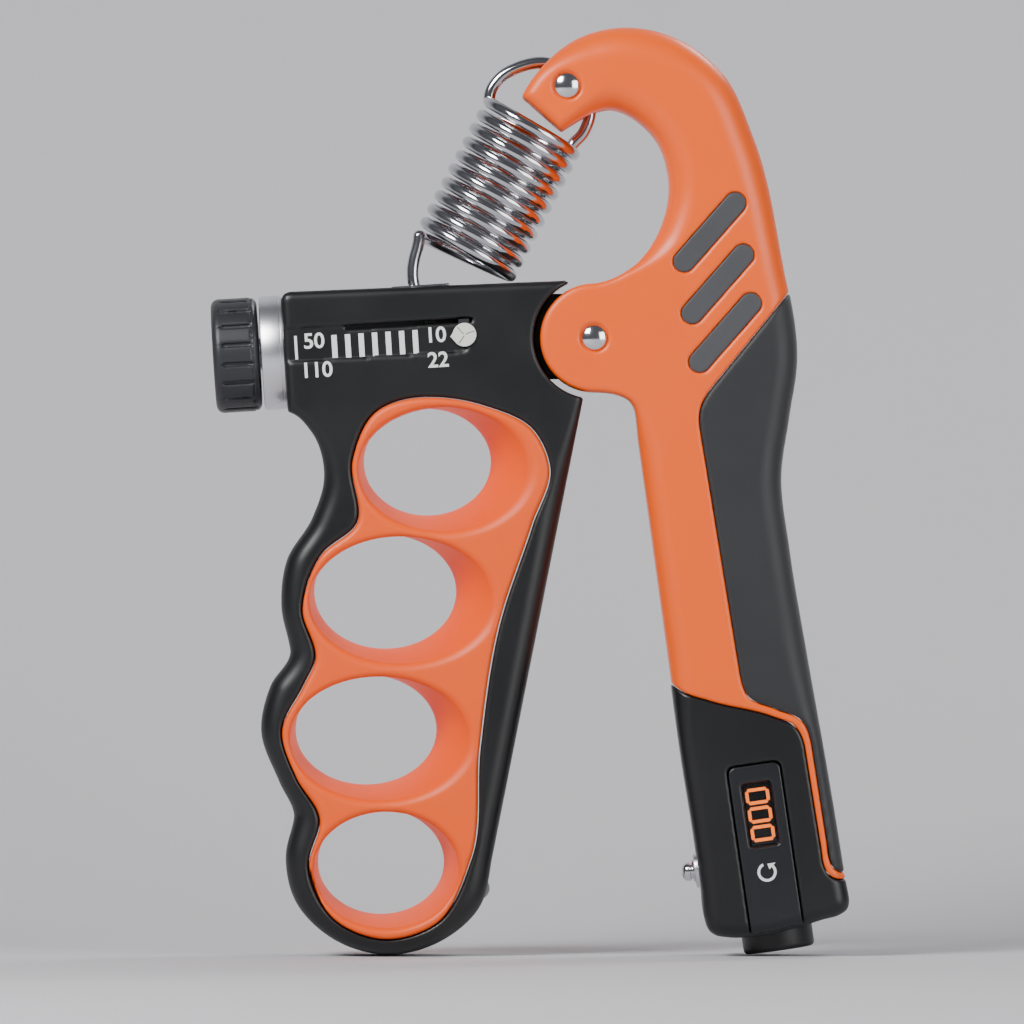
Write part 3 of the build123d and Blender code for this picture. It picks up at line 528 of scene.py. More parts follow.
# Elastomer ring insert: softer gloss than the shell and a little light passes under its skin.
ORANGE_ELASTOMER = Finish("orange_elastomer_moulded", "#FB5C00", "#F55600", 0.46, grain_mm=0.6, depth_mm=0.004,
                          subsurface=0.04)
# Spark-eroded black ABS: fine even grain, satin.
BLACK_ABS = Finish("black_abs_spark_eroded", "#0D0E10", "#121315", 0.40, grain_mm=0.30, depth_mm=0.010)
# Soft-touch elastomer over the palm side: matt, with a powdery bloom at grazing angles.
SOFT_GRIP = Finish("black_elastomer_soft_touch", "#1B1C1F", "#222326", 0.56, grain_mm=0.35, depth_mm=0.014,
                   sheen=0.25)
# Grey elastomer laid into the slots of the frame; the same grey is the painted shade of the indicator disc's moulded
# lines.
GREY_INLAY_AND_PAINTED_SHADE = Finish("grey_elastomer_inlay_and_painted_shade", "#3C3D41", "#45464A", 0.6, grain_mm=0.35, depth_mm=0.012,
                        sheen=0.2)
# Glass-filled nylon knob: matt black, with slightly lighter patches at random.
KNOB_NYLON = Finish("black_nylon_moulded", "#222327", "#2B2C30", 0.40, grain_mm=0.25, depth_mm=0.010)
# Turned stainless collar: fine rings from the lathe.
TURNED_STEEL = Finish("stainless_steel_turned", "#EAEAEE", "#DCDCE0", 0.3, 0.06, 1.0, grain=Grain.TURNED,
                      grain_mm=0.25, depth_mm=0.004)
# Polished rivets and plunger.
POLISHED_STEEL = Finish("stainless_steel_polished", "#E2E2E6", "#D0D0D4", 0.14, 0.04, 1.0, grain=Grain.DRAWN,
                        grain_mm=0.15, depth_mm=0.001)
# Nickel-plated spring wire: bright, with faint drawing marks.
SPRING_WIRE = Finish("nickel_plated_wire_drawn", "#D6D6DA", "#B8B8BC", 0.13, 0.05, 1.0, grain=Grain.DRAWN,
                     grain_mm=0.12, depth_mm=0.002)
ZINC_STEEL = Finish("steel_zinc_plated", "#B9BCC0", "#A2A5AA", 0.3, 0.08, 1.0, grain=Grain.DRAWN,
                    grain_mm=0.2, depth_mm=0.003)
BRASS = Finish("brass_turned", "#C9A55A", "#B08C48", 0.28, 0.06, 1.0, grain=Grain.TURNED, grain_mm=0.2,
               depth_mm=0.003)
ACETAL = Finish("white_acetal_moulded", "#E6E5E0", "#DCDBD5", 0.4, grain_mm=0.5, depth_mm=0.004)
# Pad-printed figures and ticks: flat white ink.
WHITE_INK = Finish("white_ink_pad_printed", "#F2F2F2", "#E6E6E6", 0.5, grain_mm=0.2, depth_mm=0.003)
CLEAR_ACRYLIC = Finish("acrylic_window_polished", "#F4F4F6", "#F4F4F6", 0.05, 0.02, ior=1.49, grain=Grain.PLAIN,
                       clear=1.0)
DISPLAY_GLASS = Finish("display_glass_black", "#050505", "#080808", 0.12, 0.03, ior=1.52, grain=Grain.PLAIN)
DIGIT_GLOW = Finish("display_segment_lit", "#FF7A1E", "#FF7418", 0.4, grain=Grain.PLAIN, glow=1.6)
PANEL_ABS = Finish("counter_panel_satin_abs", "#15161A", "#1B1C20", 0.36, grain_mm=0.25, depth_mm=0.008)
CIRCUIT_BOARD = Finish("glass_fibre_board", "#1C5A2E", "#184E28", 0.45, grain_mm=0.4, depth_mm=0.01)
CELL_STEEL = Finish("steel_pressed_nickel", "#C8C8CC", "#B0B0B4", 0.22, 0.05, 1.0, grain=Grain.DRAWN,
                    grain_mm=0.3, depth_mm=0.002)


def dress(piece: bpy.types.Object, finish: Finish) -> None:
    """Give a piece one finish, as its only material slot."""
    piece.data.materials.clear()
    piece.data.materials.append(finish.material())


BOX_FACES = ((0, 1, 2, 3), (7, 6, 5, 4), (4, 5, 1, 0), (5, 6, 2, 1), (6, 7, 3, 2), (7, 4, 0, 3))

# Finishes of the small inner pieces that keep their plain shape.
PALM_NODES: Dict[str, Finish] = {
    "hinge_washers": ACETAL, "palm_screws": ZINC_STEEL, "counter_board": CIRCUIT_BOARD,
    "reset_switch": CIRCUIT_BOARD, "button_cell": CELL_STEEL, "cell_contact": CELL_STEEL, "battery_door": BLACK_ABS,
    "plunger_spring": SPRING_WIRE,
}
FINGER_NODES: Dict[str, Finish] = {
    "finger_screws": ZINC_STEEL, "screw_bearing": BRASS, "end_bearing": BRASS, "pivot_bush": BRASS,
    "lead_screw": ZINC_STEEL, "retaining_clip": SPRING_WIRE, "slider_nut": ACETAL, "slider_pin": POLISHED_STEEL,
    "spring_hook_bush": BRASS,
}

Loop = List[Point]


def bar(a: Point, b: Point, half: float, point: float) -> Loop:
    """Six-cornered stroke between two places, pointed at both ends."""
    start, end = np.array(a, float), np.array(b, float)
    way = unit(end - start)
    side = np.array((-way[1], way[0])) * half
    inner = [start + way * point, end - way * point]
    return [tuple(p) for p in (start, inner[0] + side, inner[1] + side, end, inner[1] - side, inner[0] - side)]


def zero_segments(width: float, height: float, stroke: float, gap: float) -> List[Loop]:
    """Lit strokes of a nought that lies on its side.

    Args:
        width: size along u.
        height: size along v.
        stroke: stroke width.
        gap: dark gap where two strokes meet.

    Returns:
        One loop for each stroke.
    """
    x, z, half = width / 2 - stroke / 2, height / 2 - stroke / 2, stroke / 2
    ends = [((-x, z), (x, z)), ((-x, -z), (x, -z)), ((-x, -z), (-x, z)), ((x, -z), (x, z))]
    loops = []
    for a, b in ends:
        way = unit(np.array(b, float) - np.array(a, float)) * gap / 3
        loops.append(bar(tuple(np.array(a) + way), tuple(np.array(b) - way), half, half * 0.8))
    return loops


def arrow_ring(radius: float, stroke: float) -> List[Loop]:
    """Three quarters of a ring with an arrow head at its end."""
    turn = np.radians(np.linspace(110, 400, 30))
    rims = [radius + stroke / 2, radius - stroke / 2]
    outer, inner = [[(float(math.cos(a) * r), float(math.sin(a) * r)) for a in turn] for r in rims]
    tip = math.radians(440)
    wings = [radius + 1.7 * stroke, radius - 1.7 * stroke]
    at = [(math.cos(turn[-1]) * r, math.sin(turn[-1]) * r) for r in wings]
    head = [at[0], (math.cos(tip) * radius, math.sin(tip) * radius), at[1]]
    return [outer + inner[::-1], head]


def flat_mark(name: str, loops: Sequence[Loop], place: Place, at: Point, back: float, front: float,
              turn: float = 0.0) -> bpy.types.Object:
    """Thin printed mark in a tilted frame.

    Args:
        name: object name.
        loops: outlines in the mark's own plane.
        place: the tilted frame.
        at: where the mark's middle sits in that frame.
        back: Y of the mark's back.
        front: Y of its face.
        turn: degrees to turn it in its plane.

    Returns:
        The new object.
    """
    c, s = math.cos(math.radians(turn)), math.sin(math.radians(turn))
    vertices: List[Tuple[float, float, float]] = []
    faces: List[List[int]] = []
    for loop in loops:
        first, count = len(vertices), len(loop)
        for y in (front, back):
            vertices += [place.world(at[0] + u * c - v * s, at[1] + u * s + v * c, y) for u, v in loop]
        faces.append([first + i for i in range(count)])
        faces.append([first + count + i for i in range(count)][::-1])
        faces += [[first + i, first + count + i, first + count + (i + 1) % count, first + (i + 1) % count]
                  for i in range(count)]
    return make_object(name, np.array(vertices), faces, rounded=False)


# =============================== palm handle ===============================
@dataclass
class PalmHandle:
    """Orange frame in two halves, soft grip, inlays, rivets and counter housing."""

    pivot: Point = (12.2, 115.9)
    cheek_r: float = 10.3
    hook_pin: Point = (7.1, 163.1)
    top_eye: Point = (2.3, 158.8)
    slit_r: float = 12.6
    slit_half: float = 1.7
    slot_half: float = 4.4
    frame_half: float = 11.2
    grip_half: float = 12.0
    seam: float = 0.07
    cell: float = 0.5
    counter: Place = Place(44.2, 20.5, 8.3)
    panel: Point = (10.0, 31.4)
    inlays: Tuple[Point, ...] = ((33.8, 135.6), (35.3, 125.9), (36.7, 116.8))
    inlay_turn: float = 48.8
    inlay_half_run: float = 7.25
    inlay_r: float = 2.15
    recess_r: float = 2.75
    button_r: float = 6.8
    button_foot: float = 19.7
    plunger_at: Point = (13.2, 2.7)
    plunger_out: float = 2.9
    body: Dict[str, Outline] = field(default_factory=dict)

    def hook_outer(self) -> List[Point]:
        """Outer line of the hook, from its tip to the top of the grip."""
        return smooth([(-1.5, 161.1), (2.4, 166.8), (8.8, 172.0), (17.6, 174.2), (27.6, 172.2), (36.6, 165.3),
                       (42.2, 153.5), (48.8, 124.5)], (0.45, 1), (0.23, -1))

    def grip_outer(self) -> List[Point]:
        """Outer line of the grip, from its top to the end of the strip."""
        return smooth([(48.8, 124.5), (50.3, 112.0), (48.8, 101.0), (47.3, 90.0), (48.8, 76.5), (52.3, 55.5),
                       (56.1, 33.9), (59.2, 14.8)], (0.2, -1), (0.15, -1))

    def inner_side(self) -> List[Point]:
        """Line from the housing's upper corner up the stem, round the cheek and inside the hook."""
        px, pz, r = self.pivot[0], self.pivot[1], self.cheek_r
        line = [(26.6, 51.4)] + smooth([(20.3, 97.0), (18.9, 103.8), (px, pz - r)], (-0.14, 1), (-1, 0))
        line += arc(self.pivot, r, -90, -270)
        line += smooth([(px, pz + r), (19.2, 129.2), (24.6, 136.8), (26.1, 144.5), (23.5, 153.2), (15.6, 158.6),
                        (6.0, 154.5)], (1, 0.1), (-0.85, -0.5))
        return line + [(6.0, 154.5)]

    def outlines(self) -> None:
        """Measure the outlines that the pieces share."""
        seam = [(48.8, 124.5)] + smooth([(34.4, 106.7), (32.1, 102.6), (32.1, 98.4)], (-0.63, -0.78), (0.17, -1))
        seam += [(32.1, 98.4)] + smooth([(39.4, 53.6), (41.2, 48.5), (46.0, 46.4), (51.2, 44.0), (53.0, 39.0)],
                                        (0.16, -1), (0.17, -1))
        seam += [(53.0, 39.0)] + smooth([(55.7, 21.6), (56.1, 18.6), (57.0, 16.6), (58.3, 15.8), (61.0, 16.3)],
                                        (0.16, -1), (1, 0.3))
        seam += [(61.0, 14.9)] + smooth([(58.3, 14.5), (56.4, 15.1), (55.2, 17.0), (54.7, 20.0)],
                                        (-1, -0.2), (-0.16, 1))
        seam += smooth([(51.6, 39.2), (49.9, 43.0), (45.4, 45.0), (34.0, 47.8), (28.4, 49.8), (26.0, 51.9)],
                       (-0.17, 1), (-0.6, 0.8))
        foot = smooth([(59.2, 14.8), (59.7, 12.4), (59.95, 10.4), (59.6, 8.9), (58.3, 7.9), (55.0, 6.9), (50.8, 5.6),
                       (43.3, 3.9), (37.1, 3.6), (34.9, 4.0), (33.6, 5.0), (33.0, 6.8), (32.2, 13.0), (30.8, 22.8),
                       (28.3, 38.6), (26.6, 51.4)], (0.15, -1), (-0.12, 1))
        self.body["whole"] = Outline(self.hook_outer() + self.grip_outer() + foot + self.inner_side())
        self.body["frame"] = Outline(self.hook_outer() + seam + self.inner_side())
        self.body["grip"] = Outline([(52.0, 127.0), (56.0, 110.0), (54.0, 70.0), (64.0, 15.0), (59.0, 14.7),
                                     (56.9, 15.1), (52.3, 39.1), (50.6, 43.5), (45.7, 45.7), (38.0, 48.5),
                                     (36.0, 53.0), (28.0, 100.0), (31.0, 109.0), (46.8, 125.5)])

    def thickness(self, z: Array) -> Array:
        """Half thickness of the handle at a height."""
        return self.frame_half + (self.grip_half - self.frame_half) * (1 - ease(z, 70, 112))

    def rounding(self, x: Array, z: Array) -> Array:
        """Radius between face and side: broad on the hook and the grip, small on the hinge cheeks."""
        radius = 4.6 + 1.2 * ease(z, 118, 150)
        radius = radius - 1.6 * (1 - ease(z, 38, 58))
        near = np.hypot(x - self.pivot[0], z - self.pivot[1])
        cheek = 1 - ease(near, 12, 24)
        tip = 1 - ease(np.hypot(x - 1.5, z - 159.0), 5, 16)
        radius = radius + (1.3 - radius) * cheek
        return radius + (2.6 - radius) * tip

    def blank(self, x: Array, y: Array, z: Array) -> Array:
        """The whole handle as one rounded body."""
        side = self.body["whole"].at(x, z)
        return meet(side, np.abs(y) - self.thickness(z), self.rounding(x, z))

    def frame_solid(self, x: Array, y: Array, z: Array) -> Array:
        """Orange frame with its slots and recesses."""
        solid = meet(self.blank(x, y, z), self.body["frame"].at(x, z) + self.seam, 0.35)
        cheek = np.hypot(x - self.pivot[0], z - self.pivot[1])
        solid = cut(solid, np.maximum(cheek - self.cheek_r - 0.05, np.abs(y) - self.slot_half), 0.2)
        eye = np.hypot(x - self.top_eye[0], z - self.top_eye[1])
        solid = cut(solid, np.maximum(eye - self.slit_r, np.abs(y) - self.slit_half), 0.4)
        for at in (self.pivot, self.hook_pin):
            hole = np.maximum(np.hypot(x - at[0], z - at[1]) - self.recess_r, self.frame_half - 0.6 - np.abs(y))
            solid = cut(solid, hole, 0.3)
        for at in self.inlays:
            solid = cut(solid, np.maximum(self.inlay(at, x, z), self.frame_half - 0.75 - np.abs(y)), 0.3)
        return solid

    def inlay(self, at: Point, x: Array, z: Array) -> Array:
        """Distance to one slanted slot."""
        c, s = math.cos(math.radians(self.inlay_turn)), math.sin(math.radians(self.inlay_turn))
        u = (x - at[0]) * c + (z - at[1]) * s
        v = (z - at[1]) * c - (x - at[0]) * s
        return np.hypot(u - np.clip(u, -self.inlay_half_run, self.inlay_half_run), v) - self.inlay_r

    def build_frame(self) -> None:
        """Make both halves of the frame, which meet in the middle plane."""
        for name, way in (("palm_shell_front", 1.0), ("palm_shell_rear", -1.0)):
            def half(x: Array, y: Array, z: Array, way: float = way) -> Array:
                return meet(self.frame_solid(x, y, z), way * y + 0.03, 0.22)
            low = [-3.0, -12.5 if way > 0 else -0.6, 12.5]
            high = [61.0, 0.6 if way > 0 else 12.5, 175.5]
            piece = make_object(name + "_moulding", *skin(half, low, high, self.cell))
            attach(piece, "palm_handle")
            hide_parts(name)
            dress(piece, ORANGE_ABS)
            LOG.info("built %s", piece.name)

    def build_grip(self) -> None:
        """Make the soft grip on the palm side."""
        def pad(x: Array, y: Array, z: Array) -> Array:
            body = meet(self.blank(x, y, z), self.body["grip"].at(x, z), 0.3)
            return cut(body, self.body["frame"].at(x, z) - self.seam, 0.4)
        piece = make_object("palm_grip_soft", *skin(pad, [30.0, -12.8, 13.5], [61.0, 12.8, 126.5], self.cell))
        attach(piece, "palm_handle")
        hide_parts("palm_grip_pad", "grip_core")
        dress(piece, SOFT_GRIP)
        LOG.info("built %s", piece.name)

    def build_inlays(self) -> None:
        """Make the six grey inlays, crowned a little and sunk below the frame's face."""
        for number, at in enumerate(self.inlays):
            for side, way in (("front", -1.0), ("rear", 1.0)):
                def strip(x: Array, y: Array, z: Array, at: Point = at, way: float = way) -> Array:
                    top = way * y - (self.frame_half - 0.22)
                    crown = meet(self.inlay(at, x, z) + 0.12, top, 0.25)
                    return meet(crown, self.frame_half - 1.1 - way * y, 0.05)
                low = [at[0] - 8.5, min(way * 9.8, way * 11.6), at[1] - 8.5]
                high = [at[0] + 8.5, max(way * 9.8, way * 11.6), at[1] + 8.5]
                piece = make_object(f"slot_inlay_{side}_{number + 1}", *skin(strip, low, high, 0.25))
                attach(piece, "palm_handle")
                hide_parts("slot_inlays")
                dress(piece, GREY_INLAY_AND_PAINTED_SHADE)
        LOG.info("built six slot inlays")

    def build_housing(self) -> None:
        """Make the counter housing with its panel seat, battery door seat and button bore."""
        def shell(x: Array, y: Array, z: Array) -> Array:
            body = cut(self.blank(x, y, z), self.body["frame"].at(x, z) - self.seam, 0.4)
            body = cut(body, self.body["grip"].at(x, z) - self.seam, 0.3)
            body = meet(body, z - 52.5, 0.1)
            u, v = self.counter.local(x, z)
            body = cut(body, np.maximum(self.panel_line(u, v, -0.13), 10.5 + y), 0.12)
            bay = slab(u, v, -4.4, 4.4, -11, 13.2)
            body = cut(body, np.maximum(bay, 5.5 + y), 0.1)
            body = cut(body, np.maximum(np.hypot(u, y) - self.button_r, v + 12.2), 0.3)
            body = cut(body, np.maximum(np.hypot(u, v - 4.0) - 7.55, 10.55 - y), 0.2)
            return cut(body, np.maximum(np.hypot(v + 2.7, y) - 3.4, u + 12.9), 0.15)
        piece = make_object("counter_housing_moulding", *skin(shell, [25.0, -12.8, 2.0], [61.5, 12.8, 53.0], 0.4))
        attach(piece, "palm_handle")
        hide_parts("counter_housing")
        dress(piece, BLACK_ABS)
        LOG.info("built %s", piece.name)

    def panel_line(self, u: Array, v: Array, inset: float) -> Array:
        """Distance to the panel's outline, with rounded upper corners, drawn in by an inset."""
        half, top = self.panel[0] / 2 - inset - 1.4, self.panel[1] / 2 - inset - 1.4
        return slab(u, v, -half, half, -26.0, top) - 1.4

    def build_panel(self) -> None:
        """Make the flush panel with its window, lens, display and reset mark."""
        def plate(x: Array, y: Array, z: Array) -> Array:
            u, v = self.counter.local(x, z)
            body = meet(self.blank(x, y, z), self.panel_line(u, v, 0.13), 0.18)
            body = meet(body, y + 10.6, 0.05)
            window = slab(u, v, -2.15, 2.15, 0.9, 11.6) - 0.3
            flare = 0.55 * np.clip((-y - 10.9) / 1.0, 0, 1.2)
            return cut(body, window - flare, 0.08)
        piece = make_object("counter_panel_moulding", *skin(plate, [36.5, -12.6, 2.5], [54.0, -10.2, 37.5], 0.25))
        self.finish_up(piece, PANEL_ABS, "counter_panel")
        lens = [self.counter.world(u, v, y) for y in (-11.35, -10.75) for u, v in
                ((-2.4, 0.65), (2.4, 0.65), (2.4, 11.85), (-2.4, 11.85))]
        piece = make_object("display_lens_clear", np.array(lens), BOX_FACES, rounded=False)
        self.finish_up(piece, CLEAR_ACRYLIC, "display_lens")
        back = [self.counter.world(u, v, y) for y in (-10.6, -8.8) for u, v in
                ((-2.8, 0.3), (2.8, 0.3), (2.8, 12.2), (-2.8, 12.2))]
        piece = make_object("display_panel_dark", np.array(back), BOX_FACES, rounded=False)
        self.finish_up(piece, DISPLAY_GLASS, "counter_display")
        for number, (u, v) in enumerate(((-0.05, 9.72), (-0.05, 6.22), (-0.05, 2.72))):
            piece = flat_mark(f"display_digit_{number + 1}", zero_segments(4.5, 3.05, 0.62, 0.26), self.counter,
                              (u, v), -10.6, -10.66)
            self.finish_up(piece, DIGIT_GLOW)
        piece = flat_mark("reset_mark", arrow_ring(1.55, 0.5), self.counter, (-0.35, -4.6), -11.98, -12.05)
        self.finish_up(piece, WHITE_INK)
        LOG.info("built the counter panel, display and reset mark")

    def finish_up(self, piece: bpy.types.Object, finish: Finish,
                  replaced: Optional[str] = None) -> None:
        """Fix a piece to the palm handle, dress it and let it stand for a node."""
        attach(piece, "palm_handle")
        if replaced:
            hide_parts(replaced)
        dress(piece, finish)

    def build_plunger(self) -> None:
        """Make the spring-loaded contact on the inner wall, with its flanged guide."""
        wall, drop = self.plunger_at
        origin = self.counter.world(-wall, -drop)
        axis = self.counter.along()
        guide = [(-0.45, 1.0), (-0.45, 2.95), (-0.3, 3.2), (0.25, 3.3), (0.4, 3.3), (0.4, 2.9), (4.6, 2.9), (4.6, 2.2)]
        piece = lathe("plunger_guide_turned", guide, origin, axis)
        self.finish_up(piece, TURNED_STEEL, "plunger_guide")
        tip = self.plunger_out
        rod = [(-tip + 0.9 * (1 - math.cos(a)) * 1.3, 1.75 * math.sin(a)) for a in np.linspace(0.05, 1.5, 8)]
        rod += [(-1.35, 1.78), (-1.2, 1.45), (-0.9, 1.45), (-0.75, 2.1), (4.0, 2.1)]
        piece = lathe("contact_plunger_turned", rod, origin, axis)
        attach(piece, "plunger")
        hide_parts("contact_plunger")
        dress(piece, POLISHED_STEEL)
        LOG.info("built the plunger")

    def build_button(self) -> None:
        """Make the reset button under the housing."""
        foot, top, r = self.button_foot, self.button_foot - 7.6, self.button_r - 0.1
        profile = [(foot, 0.2), (foot - 0.02, r - 0.9), (foot - 0.12, r - 0.45), (foot - 0.45, r - 0.12),
                   (foot - 0.9, r), (top + 1.3, r), (top + 1.2, 7.15), (top, 7.15), (top, 0.2)]
        piece = lathe("reset_button_moulding", profile, (self.counter.x, 0.0, self.counter.z),
                      [-c for c in self.counter.up()])
        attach(piece, "reset")
        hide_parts("reset_button")
        dress(piece, BLACK_ABS)
        LOG.info("built %s", piece.name)

    def build_rivets(self) -> None:
        """Make the domed rivets of the hinge and the hook."""
        for name, at, shaft in (("pivot_rivet", self.pivot, 2.0), ("hook_rivet", self.hook_pin, 1.3)):
            seat, crown, head = 10.6, 11.88, 2.45
            dome = [(-crown + 0.75 * (r / head) ** 2, r) for r in np.linspace(0.05, head - 0.25, 9)]
            dome += [(-seat - 0.35, head - 0.05), (-seat - 0.15, head), (-seat, head)]
            profile = dome + [(-seat, shaft), (seat, shaft)] + [(-s, r) for s, r in dome[::-1]]
            piece = lathe(name + "_domed", profile, (at[0], 0.0, at[1]), (0.0, 1.0, 0.0))
            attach(piece, "palm_handle")
            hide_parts(name)
            dress(piece, POLISHED_STEEL)
        LOG.info("built rivets")

    def build(self) -> None:
        """Build and dress everything that belongs to the palm handle's mouldings."""
        self.outlines()
        self.build_frame()
        self.build_grip()
        self.build_inlays()
        self.build_housing()
        self.build_panel()
        self.build_plunger()
        self.build_button()
        self.build_rivets()
        for node, finish in PALM_NODES.items():
            dress(bpy.data.objects[node], finish)


# =============================== finger handle ===============================
@dataclass
class FingerHandle:
    """Black shell in two halves and the orange insert with four finger rings."""

    pivot: Point = (12.2, 115.9)
    rim_r: float = 11.4
    tongue_r: float = 9.4
    tongue_half: float = 4.0
    half: float = 12.0
    screw: Place = Place(-16.7, 115.03, 3.5)
    cell: float = 0.5
    holes: Tuple[Tuple[Point, Point, Point, Point], ...] = (
        ((-19.1, 92.6), (11.9, 10.0), (-15.8, 91.1), (16.2, 11.8)),
        ((-27.0, 68.3), (13.3, 10.7), (-23.8, 66.6), (17.4, 12.0)),
        ((-30.6, 42.4), (13.2, 10.3), (-27.8, 40.7), (17.0, 11.7)),
        ((-27.8, 17.6), (11.8, 9.8), (-26.6, 16.1), (13.8, 11.0)),
    )
    lines: Dict[str, Outline] = field(default_factory=dict)

    def outlines(self) -> None:
        """Measure the shell's outline and the insert's."""
        top = self.screw.world(-29.2, 9.75)
        low = self.screw.world(-29.2, -11.3)
        shell = [(low[0], low[2]), (top[0], top[2]), (top[0] + 0.45, top[2] + 1.0), (top[0] + 1.4, top[2] + 1.5),
                 (7.7, 126.6), self.pivot, (10.1, 104.3)]
        shell += smooth([(-6.8, 18.9), (-9.4, 9.0), (-16.6, 2.8), (-26.1, 0.3), (-36.6, 3.2), (-43.9, 10.6),
                         (-45.6, 18.8), (-44.0, 26.4)], (-0.2, -1), (0.1, 1))
        shell += smooth([(-44.0, 26.4), (-46.8, 32.7), (-50.2, 42.5), (-48.4, 50.8), (-44.7, 57.0)],
                        (-0.1, 1), (0.1, 1))
        shell += smooth([(-44.7, 57.0), (-46.4, 65.5), (-45.4, 74.2), (-40.6, 82.2), (-38.4, 90.0), (-40.6, 98.0),
                         (low[0], low[2])], (-0.1, 1), (-1, 0.2))
        self.lines["shell"] = Outline(shell)
        ring = [(-19.5, 104.8), (-8.2, 103.1), (0.8, 98.6), (3.9, 91.6), (0.6, 80.8), (-5.6, 62.0), (-9.2, 39.0),
                (-10.9, 18.0), (-17.4, 6.1), (-27.0, 3.2), (-36.6, 7.0), (-41.3, 16.6), (-39.3, 26.0),
                (-43.6, 33.4), (-46.3, 42.4), (-42.4, 50.5), (-40.1, 55.6), (-42.5, 65.0), (-39.0, 75.2),
                (-32.4, 81.0), (-33.1, 93.0), (-29.0, 101.8), (-19.5, 104.8)]
        self.lines["insert"] = Outline(smooth(ring, (1, 0.02), (1, 0.02)))

    def rounding(self, z: Array) -> Array:
        """Radius between face and side: small at the mechanism, broad along the fingers."""
        return 1.5 + 2.4 * (1 - ease(z, 84, 106))

    def shell_solid(self, x: Array, y: Array, z: Array) -> Array:
        """Black shell with its hinge tongue, mechanism chamber, slots and scale recess."""
        near = np.hypot(x - self.pivot[0], z - self.pivot[1])
        solid = meet(self.lines["shell"].at(x, z), np.abs(y) - self.half, self.rounding(z))
        solid = cut(solid, near - self.rim_r, 0.5)
        neck = slab(x, z, -2.0, 10.5, 108.2, 124.2)
        tongue = np.maximum(np.minimum(near - self.tongue_r, neck), np.abs(y) - self.tongue_half)
        solid = np.minimum(solid, np.maximum(tongue, 3.2 - near))
        solid = cut(solid, self.lines["insert"].at(x, z) - 0.12, 0.35)
        u, v = self.screw.local(x, z)
        solid = cut(solid, np.maximum(slab(u, v, -25.6, 13.4, -5.0, 8.3), np.abs(y) - 6.2), 0.1)
        solid = cut(solid, np.maximum(slab(u, v, -26.6, 2.6, 7.3, 14.3), np.abs(y) - 2.6), 0.2)
        solid = cut(solid, np.maximum(slab(u, v, -28.4, 3.2, 10.15, 16.0), np.abs(y) - 4.3), 0.25)
        recess = np.maximum(slab(u, v, -28.0, 4.1, -1.0, 3.2) - 1.0, self.half - 0.5 + y)
        solid = cut(solid, recess, 0.15)
        solid = cut(solid, np.maximum(slab(u, v, -27.6, 6.6, 3.9, 4.25), y + self.half - 0.8), 0.05)
        return cut(solid, np.maximum(slab(u, v, -17.6, 6.3, 3.45, 4.2), y + 5.0), 0.08)

    def insert_solid(self, x: Array, y: Array, z: Array) -> Array:
        """Ring insert: a crowned plate pierced by four flared finger holes."""
        plate = meet(self.lines["insert"].at(x, z) + 0.1, np.abs(y) - self.half - 0.25, 1.1)
        depth = np.clip(np.abs(y) / self.half, 0, 1.05)
        flare = depth**1.35
        for ring, ring_half, mouth, mouth_half in self.holes:
            cx = ring[0] + (mouth[0] - ring[0]) * flare
            cz = ring[1] + (mouth[1] - ring[1]) * flare
            hx = ring_half[0] + (mouth_half[0] - ring_half[0]) * flare
            hz = ring_half[1] + (mouth_half[1] - ring_half[1]) * flare
            plate = cut(plate, ellipse(x - cx, z - cz, hx, hz) * 0.96, 1.2)
        return plate

    def build(self) -> None:
        """Build and dress both shell halves and the insert."""
        self.outlines()
        for name, way in (("finger_shell_front", 1.0), ("finger_shell_rear", -1.0)):
            def half(x: Array, y: Array, z: Array, way: float = way) -> Array:
                return meet(self.shell_solid(x, y, z), way * y + 0.03, 0.22)
            low = [-51.5, -13.0 if way > 0 else -0.6, -0.8]
            high = [22.5, 0.6 if way > 0 else 13.0, 128.0]
            piece = make_object(name + "_moulding", *skin(half, low, high, self.cell))
            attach(piece, "finger_handle")
            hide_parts(name)
            dress(piece, BLACK_ABS)
            LOG.info("built %s", piece.name)
        piece = make_object("finger_ring_elastomer",
                            *skin(self.insert_solid, [-48.0, -13.2, 2.0], [5.5, 13.2, 106.5], self.cell))
        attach(piece, "finger_handle")
        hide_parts("finger_ring_insert")
        dress(piece, ORANGE_ELASTOMER)
        LOG.info("built %s", piece.name)


